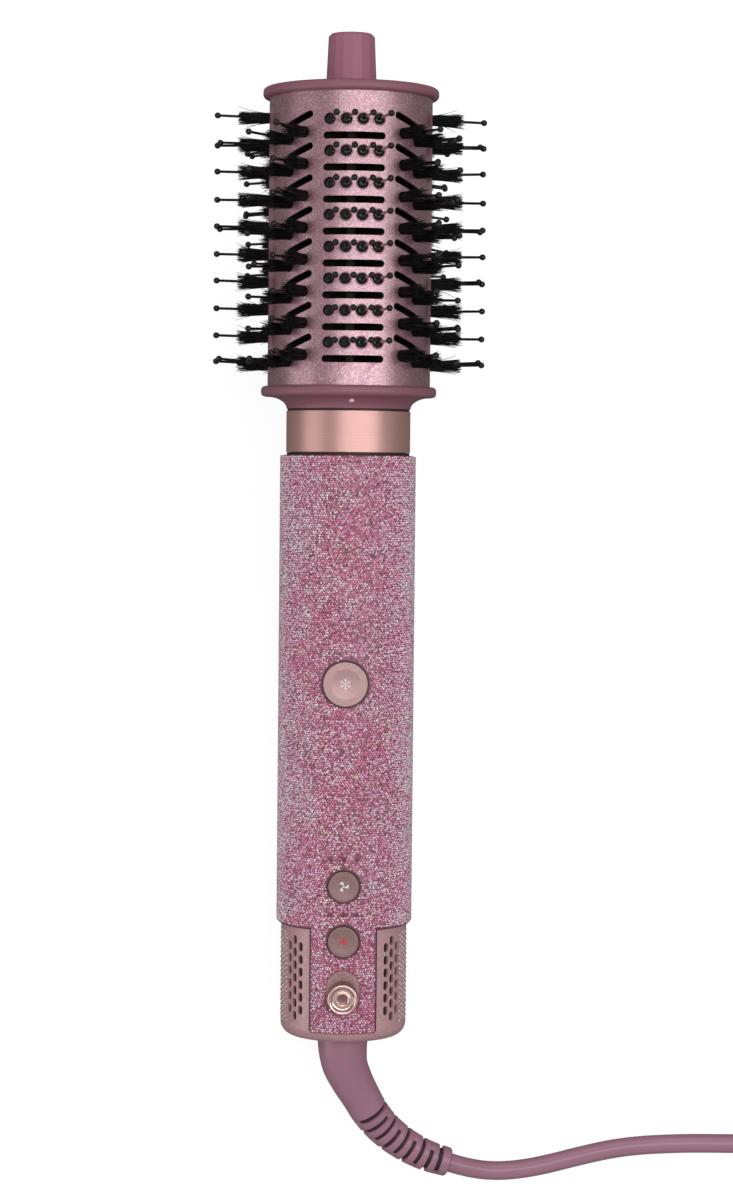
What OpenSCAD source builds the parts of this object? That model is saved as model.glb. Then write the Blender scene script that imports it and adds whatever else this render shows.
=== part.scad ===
// Hot air brush: a round bristled barrel on a stone-covered handle, with a swivel mains lead.
// It lies at rest on a table: +Y runs from the tail to the tip, +Z is up, and the buttons face up.
// Most modules draw their piece upright, with the handle's axis on +Z from the tail (0) to the tip
// and the buttons towards -Y, and lay() then lays the piece down as it rests.

/* [Handle] */
// Diameter of the handle sleeve over its stones
sleeve_d = 42; // [35:0.5:51]
// Length of the handle sleeve
sleeve_len = 146.5; // [122:0.5:176]
// Thickness of the sleeve with its stones
sleeve_t = 1.5; // [1.2:0.1:1.8]
// Wall of the two shells inside the sleeve
shell_t = 2; // [1.6:0.1:2.4]
// Width of the stone-covered tongue that runs down over the cage
tongue_w = 20.2; // [17:0.2:24]
// Depth of the gap rings above and below the metal collar
gap_ring = 0.8; // [0.6:0.1:1]
// Length of the metal collar
collar_len = 12.7; // [10.6:0.1:15.2]
// How far the collar's surface lies inside the sleeve's
collar_step = 1.6; // [1.4:0.1:2]

/* [Intake cage] */
// Length of the cage below the sleeve
cage_len = 35.4; // [33:0.2:42]
// How far the cage's surface lies inside the sleeve's
cage_step = 1.3; // [1.1:0.1:1.5]
// Wall of the cage
cage_t = 2; // [1.6:0.1:2.4]
// Radius of the cage's rounded tail edge
cage_round = 4; // [3.4:0.1:4.8]
// Width of an intake slot
vent_w = 1.8; // [1.5:0.1:2]
// Length of an intake slot
vent_len = 2.9; // [2.4:0.1:3.4]

/* [Controls] */
// Diameter of the cool shot button
cool_d = 13.6; // [11.4:0.2:16]
// Height of the cool shot button's centre above the tail
cool_u = 111.6; // [105:0.2:118]
// Diameter of the fan and heat buttons
button_d = 9.4; // [7.8:0.2:10.6]
// Travel of the buttons
button_travel = 0.6; // [0.4:0.1:0.8]
// Diameter of the power knob
knob_d = 9.6; // [8:0.2:11.4]
// Travel of the power knob
knob_travel = 3; // [2.4:0.2:3.6]
// How far the power knob stands above the stones
knob_proud = 4.5; // [3.6:0.1:5.4]

/* [Brush head] */
// Diameter of the barrel
barrel_d = 50.8; // [42.4:0.4:60.8]
// Length of the barrel
barrel_len = 89.3; // [74.4:0.1:107.2]
// Wall of the barrel
barrel_t = 1; // [0.8:0.1:1.2]
// How far the two end rims stand out past the barrel
rim_step = 2; // [1.6:0.1:2.4]
// Thickness of the rim at the handle's end
rim_t = 3.2; // [2.7:0.1:3.8]
// Thickness of the end cap
cap_t = 3.2; // [2.7:0.1:3.8]
// Length of the flare between the rim and the neck
flare_len = 3.7; // [3.1:0.1:4.4]
// Length of the cool tip
tip_len = 17; // [14.2:0.1:20.4]
// Diameter of the cool tip at its foot
tip_d = 15.4; // [12.8:0.2:18.4]
// Diameter of the holes that the bristles come out of
hole_d = 3.5; // [2.9:0.1:4]
// Width of the air slots
slot_w = 2.2; // [1.8:0.1:2.6]
// How far the nylon pins reach out from the barrel
pin_out = 17.1; // [14.2:0.1:20.5]
// Diameter of a pin's ball tip
ball_d = 2; // [1.6:0.1:2.2]
// How far the boar tufts reach out from the barrel
tuft_out = 9.6; // [8:0.1:11.5]
// How far the head is turned on the handle, in degrees
head_clock = 3; // [0:0.5:6]

/* [Lead] */
// Diameter of the mains lead
cord_d = 6; // [5:0.1:6.4]
// Diameter of the strain relief where it leaves the tail
boot_d = 15.9; // [13.2:0.1:19]
// Radius at the middle of the coil's turns
coil_r = 33; // [30:0.5:36]

/* [Hidden] */
$fn = 72;

// Clearances
run_gap = 0.08;      // round a turning shaft or neck
slide_gap = 0.15;    // round a button, and under the knob
ring_gap = 0.1;      // round the collar, and between its end faces
spigot_gap = 0.3;    // round the head's spigot
eps = 0.01;

// Radii of the handle, from the outside in
sleeve_r = sleeve_d / 2;
shell_r = sleeve_r - sleeve_t;
shell_in = shell_r - shell_t;
cage_r = sleeve_r - cage_step;
cage_in = cage_r - cage_t;
collar_r = sleeve_r - collar_step;

// Heights up the axis, from the tail
sleeve_u0 = cage_len;
sleeve_u1 = sleeve_u0 + sleeve_len;
collar_u0 = sleeve_u1 + gap_ring + 2 * ring_gap;
collar_u1 = collar_u0 + collar_len;
neck_u = collar_u1 + 0.8;
rim_u0 = neck_u + flare_len;
rim_u1 = rim_u0 + rim_t;
cap_u0 = rim_u1 + barrel_len;
cap_u1 = cap_u0 + cap_t;
tip_u = cap_u1 + tip_len;

// Intake slots: three staggered columns in each of four groups
vent_pitch = (cage_len - 11.7) / 6;
vent_u0 = 7.6;
vent_step = 7.5;
vent_angle = 49.8;

// Controls, measured up the axis and out from it towards the buttons' side
board_w = 14;
board_t = 1.2;
board_h = shell_in - 3.5;
board_u0 = 9;
board_u1 = cool_u + 8.4;
switch_h = board_h + board_t + 2.2;
flange_h = switch_h + button_travel + 0.2;
flange_t = 0.6;
bezel_h = flange_h + flange_t + 0.1;
bezel_t = 0.45;
button_top = sleeve_r + 0.5;
fan_u = 49.1;
heat_u = 32;
led_rows = [40.2, 57.4];
led_pitch = 4;
led_d = 1.2;
knob_u = 14.8;
knob_recess = 0.7;
knob_floor = sleeve_r - knob_recess;
stem_w = 2.4;
slot_len = stem_w + knob_travel + 0.4;
tongue_u0 = 3.3;

// Fan and motor, under the board
shroud_r = board_h - 0.4;
shroud_in = shroud_r - 1;
shroud_u0 = 42;
shroud_u1 = 95;
fan_r = shroud_in - 0.5;
fan_u0 = 46;
fan_hub_r = 5;
air_gap = 4.6;
motor_r = shroud_in - air_gap;
motor_u0 = 60;
motor_u1 = 88;
motor_wall = 1;
shaft_r = 1;
mount_rows = [50, 86];
mount_len = 6;

// Heater, between the board's end and the nose
heater_u0 = board_u1 + 4;
heater_u1 = sleeve_u1 - 16;
heater_r = shell_in - 2.3;
heater_in = heater_r - 0.8;
mica_t = 0.8;
wire_r = 0.7;
coil_wind_r = heater_in - 1.6;
wind_u0 = heater_u0 + 6;
winds = 10;
wind_pitch = (heater_u1 - 6 - wind_u0) / (winds - 1);
rib_t = 2;

// Nose, collar and the head's spigot
nose_u0 = heater_u1 + 2;
spigot_r = shell_in - 1.9;
spigot_in = spigot_r - 1.2;
spigot_len = 12;
bead = 0.4;

// Screws
screw_x = shell_in - 2;
screw_rows = [shroud_u0 + 3, heater_u0 - 6];
screw_r = 1;
seat_y = 6.5;

// Swivel at the tail
tail_wall = 2.4;
neck_r = boot_d / 2 - 0.3;
neck_end = -0.15;
collar_t = 2;
swivel_r = cage_in - 6.4;
retainer_u = tail_wall + collar_t + 2 * ring_gap;
retainer_t = 1.6;
stem_r = neck_r - 2;
stem_u = retainer_u + 7.4;
slip_r = stem_r + 1;
slip_rows = [1.9, 4.9];
slip_t = 1.5;
tail_screw_r = cage_in - 3.4;

// Barrel, and what stands on it: angles are turned with the head
barrel_r = barrel_d / 2;
barrel_in = barrel_r - barrel_t;
rim_r = barrel_r + rim_step;
rim_edge = 1.2;
pin_r = barrel_r + pin_out;
tuft_r = barrel_r + tuft_out;
carrier_t = 1.5;
carrier_in = barrel_in - carrier_t;
rows = 8;
row_u0 = rim_u1 + 12.95;
row_pitch = (barrel_len - 12.95 - 8.65) / (rows - 1);
hole_step = 11.55;
slot_span = 43.7;
slot_drop = 0.52 * row_pitch;
tip_step = 7.6;
front_lean = 2.8;
back_lean = -head_clock;
near_tuft = [36.8, -0.39 * row_pitch];
far_tuft = [50, -0.585 * row_pitch];
chevron_span = 18.3;
chevron_angle = 41.3;
chevron_tilt = 21;
pin_half = 26;
tuft_from = 30;
tuft_to = 63;
side_half = 17.8;
side_flange = 25;
side_rows = 10;
side_u0 = rim_u1 + 6.8;
side_pitch = (barrel_len - 12.8) / (side_rows - 1);
register_t = 1.2;
register_len = 3;
carrier_u0 = rim_u1 + register_len + 0.2;
carrier_u1 = cap_u0 - 2.5 - 0.2;
fin_angles = [28, 64, 116, 152, 208, 244, 296, 332];
fin_t = 2;
tuft_d = hole_d - 0.1;
stem_d = 0.9;
boss_d = hole_d - 0.2;
tip_boss_r = 5.2;
tip_facets = 16;

// How it lies: on the cage's tail edge and on the lowest row of the back pins
rest_run = row_u0 - cage_round;
rest_rise = (pin_r - ball_d / 2) * cos(tip_step / 2) - cage_r + cage_round;
rest_reach = norm([rest_run, rest_rise]);
lay_tilt = atan2(rest_rise, rest_run) + asin((ball_d / 2 - cage_round) / rest_reach);
tail_z = (cage_r - cage_round) * cos(lay_tilt) + cage_round * (1 - sin(lay_tilt));
tip_edge = 0.8;
tip_top_r = tip_d / 2 - 0.5 - tip_edge;
end_y = tip_u * cos(lay_tilt) + tip_top_r * sin(lay_tilt);
start_y = cage_round * cos(lay_tilt) - (cage_r - cage_round) * sin(lay_tilt) - cage_round;
tail_y = -(end_y + start_y) / 2;

// Strain relief and lead: points chosen by hand, on the table's frame
function on_axis(u) = [0, tail_y + u * cos(lay_tilt), tail_z + u * sin(lay_tilt)];
boot_points = [
    on_axis(neck_end), on_axis(-5), [0.4, -165, 17.9], [2.7, -170, 16.7], [5.6, -175, 15.1],
    [8.6, -180, 13.2], [12.2, -184.6, 11.2], [16.7, -188.7, 9.4], [21.9, -192.2, 7.8],
    [27.7, -195, 6.4], [34, -196.9, 5.5]
];
boot_mid_r = boot_d / 2 - 2;
boot_end_r = cord_d / 2 + 1.3;
boot_radii = [
    boot_d / 2, boot_d / 2, boot_d / 2 - 0.4, boot_d / 2 - 0.9, boot_d / 2 - 1.4,
    boot_mid_r, boot_mid_r - 0.3, boot_mid_r - 0.7, boot_end_r + 0.6, boot_end_r + 0.3, boot_end_r
];
cord_points = [
    [31.2, -196.1, 6], [34, -196.9, 5.5], [38, -198.1, 4.6], [43, -199.2, 3.7], [48, -199.7, 3.2],
    [53, -199.6, 3], [60, -198.7, 3], [67, -197.2, 3], [74, -195.4, 3], [81, -193.7, 3],
    [88, -192.3, 3], [95, -191.4, 3], [102, -190.9, 3], [109, -190.6, 3], [117, -190.5, 3],
    [126, -190.5, 3], [136, -190.5, 3], [146, -190.5, 3], [156, -190.5, 3], [164, -190.5, 3]
];
coil_at = [176, -148.5, 0];
coil_wide = 4;
coil_high = 2;
coil_in = coil_r - coil_wide * cord_d / 2;
coil_out = coil_r + coil_wide * cord_d / 2;
coil_h = coil_high * cord_d;
lead_points = [[218, -138, 9], [218, -130, 9], [218, -121, 9], [218, -112, 9]];
cord_sides = 10;
boot_sides = 16;
tie_w = 10;
tie_t = 1;

// Plug, with its axis along +Y where the lead ends
plug_at = [218, -112, 9];
plug_w = 35.4;
plug_t = 18;
plug_relief = 26;
plug_body_len = 40;
plug_pin_r = 2.4;
plug_root_r = 2;
plug_pin_gap = 19;
plug_pin_len = 19;
plug_pin_root = 10;

// Lays an upright piece down as it rests
module lay() {
    translate([0, tail_y, tail_z])
        rotate([lay_tilt - 90, 0, 0])
            children();
}

// The same, turned on the axis with the head
module lay_head() {
    lay()
        rotate([0, 0, head_clock])
            children();
}

// Stands children on the axis at height u, facing out at an angle from the buttons' side:
// x runs round the handle, y up it, and z outwards
module facing(u, angle) {
    translate([0, 0, u])
        rotate([90, 0, angle])
            children();
}

module tube(outer, inner, u0, u1) {
    difference() {
        translate([0, 0, u0])
            cylinder(r = outer, h = u1 - u0);
        translate([0, 0, u0 - 1])
            cylinder(r = inner, h = u1 - u0 + 2);
    }
}

module rod(r, u0, u1) {
    translate([0, 0, u0])
        cylinder(r = r, h = u1 - u0);
}

// A tube's sector, as far as half to each side of the angle
module sector(outer, inner, u0, u1, angle, half) {
    rotate([0, 0, angle - 90 - half])
        rotate_extrude(angle = 2 * half)
            translate([inner, u0])
                square([outer - inner, u1 - u0]);
}

// A slot with round ends, long along x
module oblong(len, wide, h) {
    translate([-(len - wide) / 2, -wide / 2, 0])
        cube([len - wide, wide, h]);
    for (s = [-1, 1])
        translate([s * (len - wide) / 2, 0, 0])
            cylinder(d = wide, h = h, $fn = 32);
}

// A tube swept along points, with a radius at each
function unit(v) = v / norm(v);
function heading(p, i) =
    i == 0 ? unit(p[1] - p[0])
    : i == len(p) - 1 ? unit(p[i] - p[i - 1])
    : unit(unit(p[i + 1] - p[i]) + unit(p[i] - p[i - 1]));
function ring_at(p, t, r, sides) =
    let (side = unit(cross(t, [0, 0, 1])), up = cross(side, t))
    [for (k = [0:sides - 1]) p + r * (cos(360 * k / sides) * side + sin(360 * k / sides) * up)];

module swept(points, radii, sides) {
    last = len(points) - 1;
    rings = [
        for (i = [0:last])
            each ring_at(points[i], heading(points, i), radii[i], sides)
    ];
    walls = [
        for (i = [0:last - 1], k = [0:sides - 1])
            let (a = i * sides + k, b = i * sides + (k + 1) % sides)
            each [[a, b, b + sides], [a, b + sides, a + sides]]
    ];
    first_end = [[for (k = [sides - 1:-1:0]) k]];
    last_end = [[for (k = [0:sides - 1]) last * sides + k]];
    polyhedron(points = rings, faces = concat(walls, first_end, last_end));
}

// ---- Lead, strain relief and swivel ----

module swivel_collar() {
    color("dimgray")
        lay() {
            rod(neck_r, neck_end, tail_wall + 0.1);
            rod(swivel_r, tail_wall + ring_gap, tail_wall + ring_gap + collar_t);
            rod(stem_r, tail_wall, stem_u);
        }
}

module slip_rings() {
    color("gold")
        lay()
            for (u = slip_rows)
                tube(slip_r, stem_r, retainer_u + u, retainer_u + u + slip_t);
}

module boot() {
    color("rosybrown")
        swept(boot_points, boot_radii, boot_sides);
}

module cord() {
    color("rosybrown")
        swept(cord_points, [for (p = cord_points) cord_d / 2], cord_sides);
}

module tie_band(inside, bottom) {
    translate([0, coil_r, 0])
        translate([-tie_w / 2, -(coil_out - coil_in) / 2 - inside, bottom])
            cube([tie_w, coil_out - coil_in + 2 * inside, coil_h + inside - bottom]);
}

module coil() {
    edge = cord_d / 2;
    color("rosybrown")
        translate(coil_at)
            difference() {
                rotate_extrude()
                    translate([coil_in, 0]) {
                        translate([edge, 0])
                            square([coil_out - coil_in - cord_d, coil_h]);
                        translate([0, edge])
                            square([coil_out - coil_in, coil_h - cord_d]);
                        for (x = [edge, coil_out - coil_in - edge], z = [edge, coil_h - edge])
                            translate([x, z])
                                circle(r = edge, $fn = 32);
                    }
                translate([-tie_w / 2, coil_in - 1, -1])
                    cube([tie_w, coil_out - coil_in + 2, 1 + tie_t]);
            }
}

module plug_lead() {
    color("rosybrown")
        swept(lead_points, [for (p = lead_points) cord_d / 2], cord_sides);
}

module cord_tie() {
    color("dimgray")
        translate(coil_at)
            difference() {
                tie_band(tie_t, 0);
                translate([-1, 0, 0])
                    scale([1, 1, 1])
                        translate([-tie_w / 2, coil_in, tie_t])
                            cube([tie_w + 2, coil_out - coil_in, coil_h - tie_t]);
            }
}

// The plug is drawn along +Z and turned to +Y
module along_plug() {
    translate(plug_at)
        rotate([-90, 0, 0])
            children();
}

module plug_body() {
    round_r = plug_t / 2;
    color("rosybrown")
        along_plug()
            difference() {
                union() {
                    cylinder(r1 = cord_d / 2 + 1, r2 = cord_d / 2 + 2.4, h = plug_relief);
                    translate([0, 0, plug_relief])
                        cylinder(r1 = cord_d / 2 + 3, r2 = round_r, h = 8);
                    translate([0, 0, plug_relief + 8]) {
                        for (s = [-1, 1])
                            translate([s * (plug_w / 2 - round_r), 0, 0])
                                cylinder(r = round_r, h = plug_body_len - 8);
                        translate([-(plug_w / 2 - round_r), -round_r, 0])
                            cube([plug_w - plug_t, plug_t, plug_body_len - 8]);
                    }
                }
                for (s = [-1, 1])
                    translate([s * plug_pin_gap / 2, 0, plug_relief + plug_body_len - plug_pin_root])
                        cylinder(r = plug_root_r, h = plug_pin_root + 1);
            }
}

module plug_pins() {
    color("silver")
        along_plug()
            for (s = [-1, 1])
                translate([s * plug_pin_gap / 2, 0, plug_relief + plug_body_len]) {
                    cylinder(r = plug_pin_r, h = plug_pin_len);
                    translate([0, 0, -plug_pin_root])
                        cylinder(r = plug_root_r, h = plug_pin_root + 1);
                }
}

// ---- Handle ----

// What the front walls leave open for the buttons, lamps and knob
module control_holes() {
    facing(cool_u, 0)
        cylinder(d = cool_d + 2 * slide_gap + 2 * bezel_t, h = sleeve_r + 5);
    for (u = [fan_u, heat_u])
        facing(u, 0)
            cylinder(d = button_d + 2 * slide_gap + 2 * bezel_t, h = sleeve_r + 5);
    for (u = led_rows, x = [-led_pitch, 0, led_pitch])
        facing(u, 0)
            translate([x, 0, board_h])
                cylinder(d = led_d, h = sleeve_r, $fn = 24);
}

// Room for the board behind the front wall
module board_room(u0, u1) {
    translate([-board_w / 2 - 1, -sleeve_r, u0])
        cube([board_w + 2, sleeve_r - board_h, u1 - u0]);
}

module knob_slot() {
    facing(knob_u + knob_travel / 2, 0)
        rotate([0, 0, 90])
            oblong(slot_len, stem_w + 0.3, sleeve_r + 1);
}

module vents() {
    for (side = [-1, 1], back = [0, 180], col = [-1, 0, 1])
        for (k = [0:(col == 0 ? 6 : 5)])
            facing(
                vent_u0 + vent_pitch * (k + (col == 0 ? 0 : 0.5)),
                back + side * (vent_angle + vent_step * col)
            )
                translate([0, 0, cage_in - 1])
                    rotate([0, 0, 90])
                        oblong(vent_len, vent_w, cage_t + 3);
}

module intake_cage() {
    inner_round = cage_round - cage_t;
    color("rosybrown")
        lay()
            difference() {
                union() {
                    difference() {
                        rotate_extrude() {
                            square([cage_r - cage_round, cage_len]);
                            translate([0, cage_round])
                                square([cage_r, cage_len - cage_round]);
                            translate([cage_r - cage_round, cage_round])
                                circle(r = cage_round);
                        }
                        rotate_extrude()
                            difference() {
                                translate([0, tail_wall])
                                    square([cage_in, cage_len]);
                                translate([cage_in - inner_round, 0])
                                    difference() {
                                        square([inner_round, cage_round]);
                                        translate([0, cage_round])
                                            circle(r = inner_round);
                                    }
                            }
                    }
                    difference() {
                        union() {
                            tube(shell_in, shell_in - 1, cage_len - 3, cage_len + 6);
                            tube(cage_in + 0.2, shell_in - 1, cage_len - 3, cage_len);
                        }
                        board_room(0, sleeve_u0 + 10);
                    }
                    for (a = [0, 120, 240])
                        facing(0, a)
                            translate([0, 0, tail_screw_r])
                                rotate([-90, 0, 0])
                                    rod(2, tail_wall - 1, retainer_u);
                }
                rod(neck_r + run_gap, -1, tail_wall + 1);
                for (a = [0, 120, 240])
                    facing(0, a)
                        translate([0, 0, tail_screw_r])
                            rotate([-90, 0, 0])
                                rod(screw_r, 1, retainer_u + 1);
                vents();
                knob_slot();
                control_holes();
            }
}

module filter_mesh() {
    color("gray")
        lay()
            difference() {
                tube(cage_in, cage_in - 0.6, retainer_u + retainer_t, cage_len - 3);
                board_room(0, cage_len);
            }
}

module swivel_retainer() {
    color("dimgray")
        lay()
            difference() {
                rod(cage_in - 0.3, retainer_u, retainer_u + retainer_t);
                rod(slip_r + 0.4, retainer_u - 1, retainer_u + retainer_t + 1);
                for (a = [0, 120, 240])
                    facing(0, a)
                        translate([0, 0, tail_screw_r])
                            rotate([-90, 0, 0])
                                rod(screw_r, retainer_u - 1, retainer_u + 4);
            }
}

module retainer_screws() {
    color("silver")
        lay()
            for (a = [0, 120, 240])
                facing(0, a)
                    translate([0, 0, tail_screw_r])
                        rotate([-90, 0, 0]) {
                            rod(screw_r, 1.2, retainer_u + retainer_t + 0.1);
                            rod(1.8, retainer_u + retainer_t, retainer_u + retainer_t + 1.1);
                        }
}

module contact_block() {
    color("saddlebrown")
        lay()
            difference() {
                facing(retainer_u + retainer_t, 180)
                    translate([-3.5, 0, 0])
                        cube([7, 5.5, slip_r + 6]);
                rod(slip_r + run_gap, 0, stem_u + 5);
            }
}

// Half of the inner casing; side is -1 for the buttons' half and 1 for the other
module shell_half(side) {
    difference() {
        union() {
            tube(shell_r, shell_in, sleeve_u0, sleeve_u1);
            for (u = [heater_u0 + 2, heater_u1 - 4])
                tube(shell_in + 0.1, heater_r, u, u + rib_t);
            for (u = screw_rows, s = [-1, 1])
                intersection() {
                    translate([s * screw_x, 0, u])
                        rotate([90, 0, 0])
                            cylinder(r = 1.9, h = 2 * seat_y, center = true);
                    rod(shell_in + 0.5, u - 3, u + 3);
                }
        }
        translate([-30, side > 0 ? -60 : 0, 0])
            cube([60, 60, tip_u]);
        for (u = screw_rows, s = [-1, 1])
            translate([s * screw_x, 0, u])
                rotate([-90, 0, 0]) {
                    rod(screw_r, -seat_y + 1, seat_y + 1);
                    rod(1.9, seat_y, sleeve_r);
                }
        control_holes();
    }
}

module rear_shell() {
    color("dimgray")
        lay()
            shell_half(1);
}

module front_shell() {
    color("gray")
        lay()
            shell_half(-1);
}

module shell_screws() {
    color("silver")
        lay()
            for (u = screw_rows, s = [-1, 1])
                translate([s * screw_x, 0, u])
                    rotate([-90, 0, 0]) {
                        rod(screw_r, -seat_y + 1.2, seat_y + 0.1);
                        rod(1.7, seat_y, seat_y + 1.3);
                    }
}

module crystal_sleeve() {
    edge = 0.6;
    color("palevioletred")
        lay()
            difference() {
                union() {
                    rotate_extrude()
                        polygon([
                            [shell_r, sleeve_u0], [sleeve_r - edge, sleeve_u0],
                            [sleeve_r, sleeve_u0 + edge], [sleeve_r, sleeve_u1 - edge],
                            [sleeve_r - edge, sleeve_u1], [shell_r, sleeve_u1]
                        ]);
                    intersection() {
                        tube(sleeve_r, cage_r, tongue_u0, sleeve_u0 + 1);
                        translate([-tongue_w / 2, -sleeve_r - 1, 0])
                            cube([tongue_w, sleeve_r, sleeve_u0 + 2]);
                    }
                }
                rod(shell_r, sleeve_u0, sleeve_u0 + 2);
                control_holes();
                knob_slot();
                facing(knob_u + knob_travel / 2, 0)
                    translate([0, 0, knob_floor])
                        rotate([0, 0, 90])
                            oblong(knob_d + knob_travel + 0.8, knob_d + 0.8, 5);
            }
}

module bezel(u, d) {
    facing(u, 0)
        tube(d / 2 + slide_gap + bezel_t, d / 2 + slide_gap, bezel_h, sleeve_r - 0.1);
}

module button_bezels() {
    color("black")
        lay() {
            bezel(cool_u, cool_d);
            bezel(fan_u, button_d);
            bezel(heat_u, button_d);
        }
}

module led_lenses() {
    color("white")
        lay()
            for (u = led_rows, x = [-led_pitch, 0, led_pitch])
                facing(u, 0)
                    translate([x, 0, board_h + board_t])
                        cylinder(d = led_d, h = sleeve_r - 0.4 - board_h - board_t, $fn = 24);
}

module control_board() {
    color("darkgreen")
        lay()
            translate([-board_w / 2, -board_h - board_t, board_u0])
                cube([board_w, board_t, board_u1 - board_u0]);
}

module tact_switches() {
    color("black")
        lay()
            for (u = [cool_u, fan_u, heat_u])
                facing(u, 0)
                    translate([-3, -3, board_h + board_t])
                        cube([6, 6, switch_h - board_h - board_t]);
}

module slide_switch() {
    color("silver")
        lay()
            facing(knob_u + knob_travel / 2, 0)
                translate([-4, -4.5, board_h + board_t])
                    cube([8, 9, switch_h - board_h - board_t - 0.3]);
}

module fan_shroud() {
    color("gray")
        lay()
            tube(shroud_r, shroud_in, shroud_u0, shroud_u1);
}

module fan_mounts() {
    color("black")
        lay()
            difference() {
                for (u = mount_rows)
                    tube(shell_in, shroud_r, u, u + mount_len);
                board_room(mount_rows[0] - 1, mount_rows[1] + mount_len + 1);
            }
}

module stator_vanes() {
    vanes = 5;
    color("gray")
        lay() {
            tube(motor_r + 1, motor_r, motor_u0 + 10, motor_u0 + 24);
            intersection() {
                for (k = [0:vanes - 1])
                    rotate([0, 0, 360 * k / vanes])
                        translate([-0.6, motor_r + 0.5, motor_u0 + 10])
                            cube([1.2, shroud_in, 14]);
                rod(shroud_in, motor_u0, motor_u1);
            }
        }
}

module motor_can() {
    color("silver")
        lay()
            difference() {
                rod(motor_r, motor_u0, motor_u1);
                rod(motor_r - motor_wall, motor_u0 + 1.5, motor_u1 - 1.5);
                rod(shaft_r + run_gap, motor_u0 - 1, motor_u1 + 1);
            }
}

module heater_tube() {
    color("tan")
        lay()
            tube(heater_r, heater_in, heater_u0, heater_u1);
}

// Rings of wire, as the winding's turns
module windings() {
    for (k = [0:winds - 1])
        translate([0, 0, wind_u0 + wind_pitch * k])
            rotate_extrude()
                translate([coil_wind_r, 0])
                    circle(r = wire_r, $fn = 24);
}

module heater_frame() {
    color("beige")
        lay()
            difference() {
                for (a = [0, 90])
                    rotate([0, 0, a])
                        intersection() {
                            union() {
                                translate([-coil_wind_r, -mica_t / 2, heater_u0])
                                    cube([2 * coil_wind_r, mica_t, heater_u1 - heater_u0]);
                                for (u = [heater_u0, heater_u1 - 3])
                                    translate([-heater_r, -mica_t / 2, u])
                                        cube([2 * heater_r, mica_t, 3]);
                            }
                            rod(heater_in, heater_u0, heater_u1);
                        }
                windings();
            }
}

module heater_coil() {
    color("orangered")
        lay()
            windings();
}

module thermal_cutout() {
    can_r = 2;
    color("silver")
        lay()
            translate([can_r + mica_t / 2, can_r + mica_t / 2, heater_u1 - 14])
                cylinder(r = can_r, h = 9);
}

module nose_socket() {
    color("dimgray")
        lay()
            difference() {
                union() {
                    rod(shell_in, nose_u0, collar_u1);
                    translate([0, 0, (collar_u0 + collar_u1) / 2])
                        rotate_extrude()
                            translate([shell_in, 0])
                                circle(r = bead, $fn = 24);
                }
                rod(spigot_r + spigot_gap, nose_u0 - 1, collar_u1 + 1);
            }
}

module nose_gasket() {
    color("black")
        lay()
            tube(collar_r - 0.2, shell_in, sleeve_u1, sleeve_u1 + gap_ring + ring_gap);
}

// ---- Fan rotor ----

module motor_shaft() {
    color("silver")
        lay()
            rod(shaft_r, fan_u0 - 1, motor_u1 + 2);
}

module armature() {
    color("peru")
        lay()
            tube(motor_r - motor_wall - 0.6, shaft_r, motor_u0 + 3, motor_u1 - 3);
}

module impeller() {
    blades = 7;
    blade_h = 9;
    color("white")
        lay()
            difference() {
                union() {
                    rod(fan_hub_r, fan_u0, fan_u0 + blade_h + 2);
                    intersection() {
                        for (k = [0:blades - 1])
                            rotate([0, 0, 360 * k / blades])
                                translate([0, fan_r / 2 + 1, fan_u0 + blade_h / 2 + 1])
                                    rotate([0, 40, 0])
                                        cube([1, fan_r + 2, 2 * blade_h], center = true);
                        tube(fan_r, fan_hub_r - 1, fan_u0 + 1, fan_u0 + 1 + blade_h);
                    }
                }
                rod(shaft_r, fan_u0 - 1, fan_u0 + blade_h + 3);
            }
}

// ---- Controls that move ----

module button(u, d) {
    facing(u, 0)
        difference() {
            union() {
                rod(d / 2, flange_h, button_top);
                rod(d / 2 + slide_gap + bezel_t - 0.25, flange_h, flange_h + flange_t);
            }
            translate([0, 0, button_top + 4 * d - 0.2])
                sphere(r = 4 * d, $fn = 96);
        }
}

module cool_button() {
    color("rosybrown")
        lay()
            button(cool_u, cool_d);
}

module fan_button() {
    color("rosybrown")
        lay()
            button(fan_u, button_d);
}

module heat_button() {
    color("rosybrown")
        lay()
            button(heat_u, button_d);
}

module power_knob() {
    dish_r = 7;
    top_r = knob_d / 2 - 0.45;
    top = sleeve_r + knob_proud;
    color("lightpink")
        lay()
            facing(knob_u, 0)
                difference() {
                    union() {
                        translate([0, 0, knob_floor + slide_gap])
                            cylinder(r1 = knob_d / 2, r2 = top_r, h = top - knob_floor - slide_gap);
                        rod(stem_w / 2, switch_h - 0.1, knob_floor + 1);
                    }
                    translate([0, 0, top + dish_r - 1])
                        sphere(r = dish_r);
                }
}

// ---- Collar and brush head ----

module lock_ring() {
    inner = shell_in + ring_gap;
    color("rosybrown")
        lay()
            difference() {
                tube(collar_r, inner, collar_u0, collar_u1);
                translate([0, 0, (collar_u0 + collar_u1) / 2])
                    rotate_extrude()
                        translate([shell_in, 0])
                            circle(r = bead + ring_gap, $fn = 24);
            }
}

// The flare's outline is a quarter of an ellipse, from the neck out to the rim
function flare_r(u) =
    rim_r - rim_edge - (rim_r - rim_edge - collar_r) * sqrt(1 - pow((u - neck_u) / flare_len, 2));

// A rim's outline between two heights, with both edges rounded
module lip(u0, u1) {
    translate([0, u0])
        square([rim_r - rim_edge, u1 - u0]);
    translate([0, u0 + rim_edge])
        square([rim_r, u1 - u0 - 2 * rim_edge]);
    for (u = [u0 + rim_edge, u1 - rim_edge])
        translate([rim_r - rim_edge, u])
            circle(r = rim_edge, $fn = 32);
}

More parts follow.
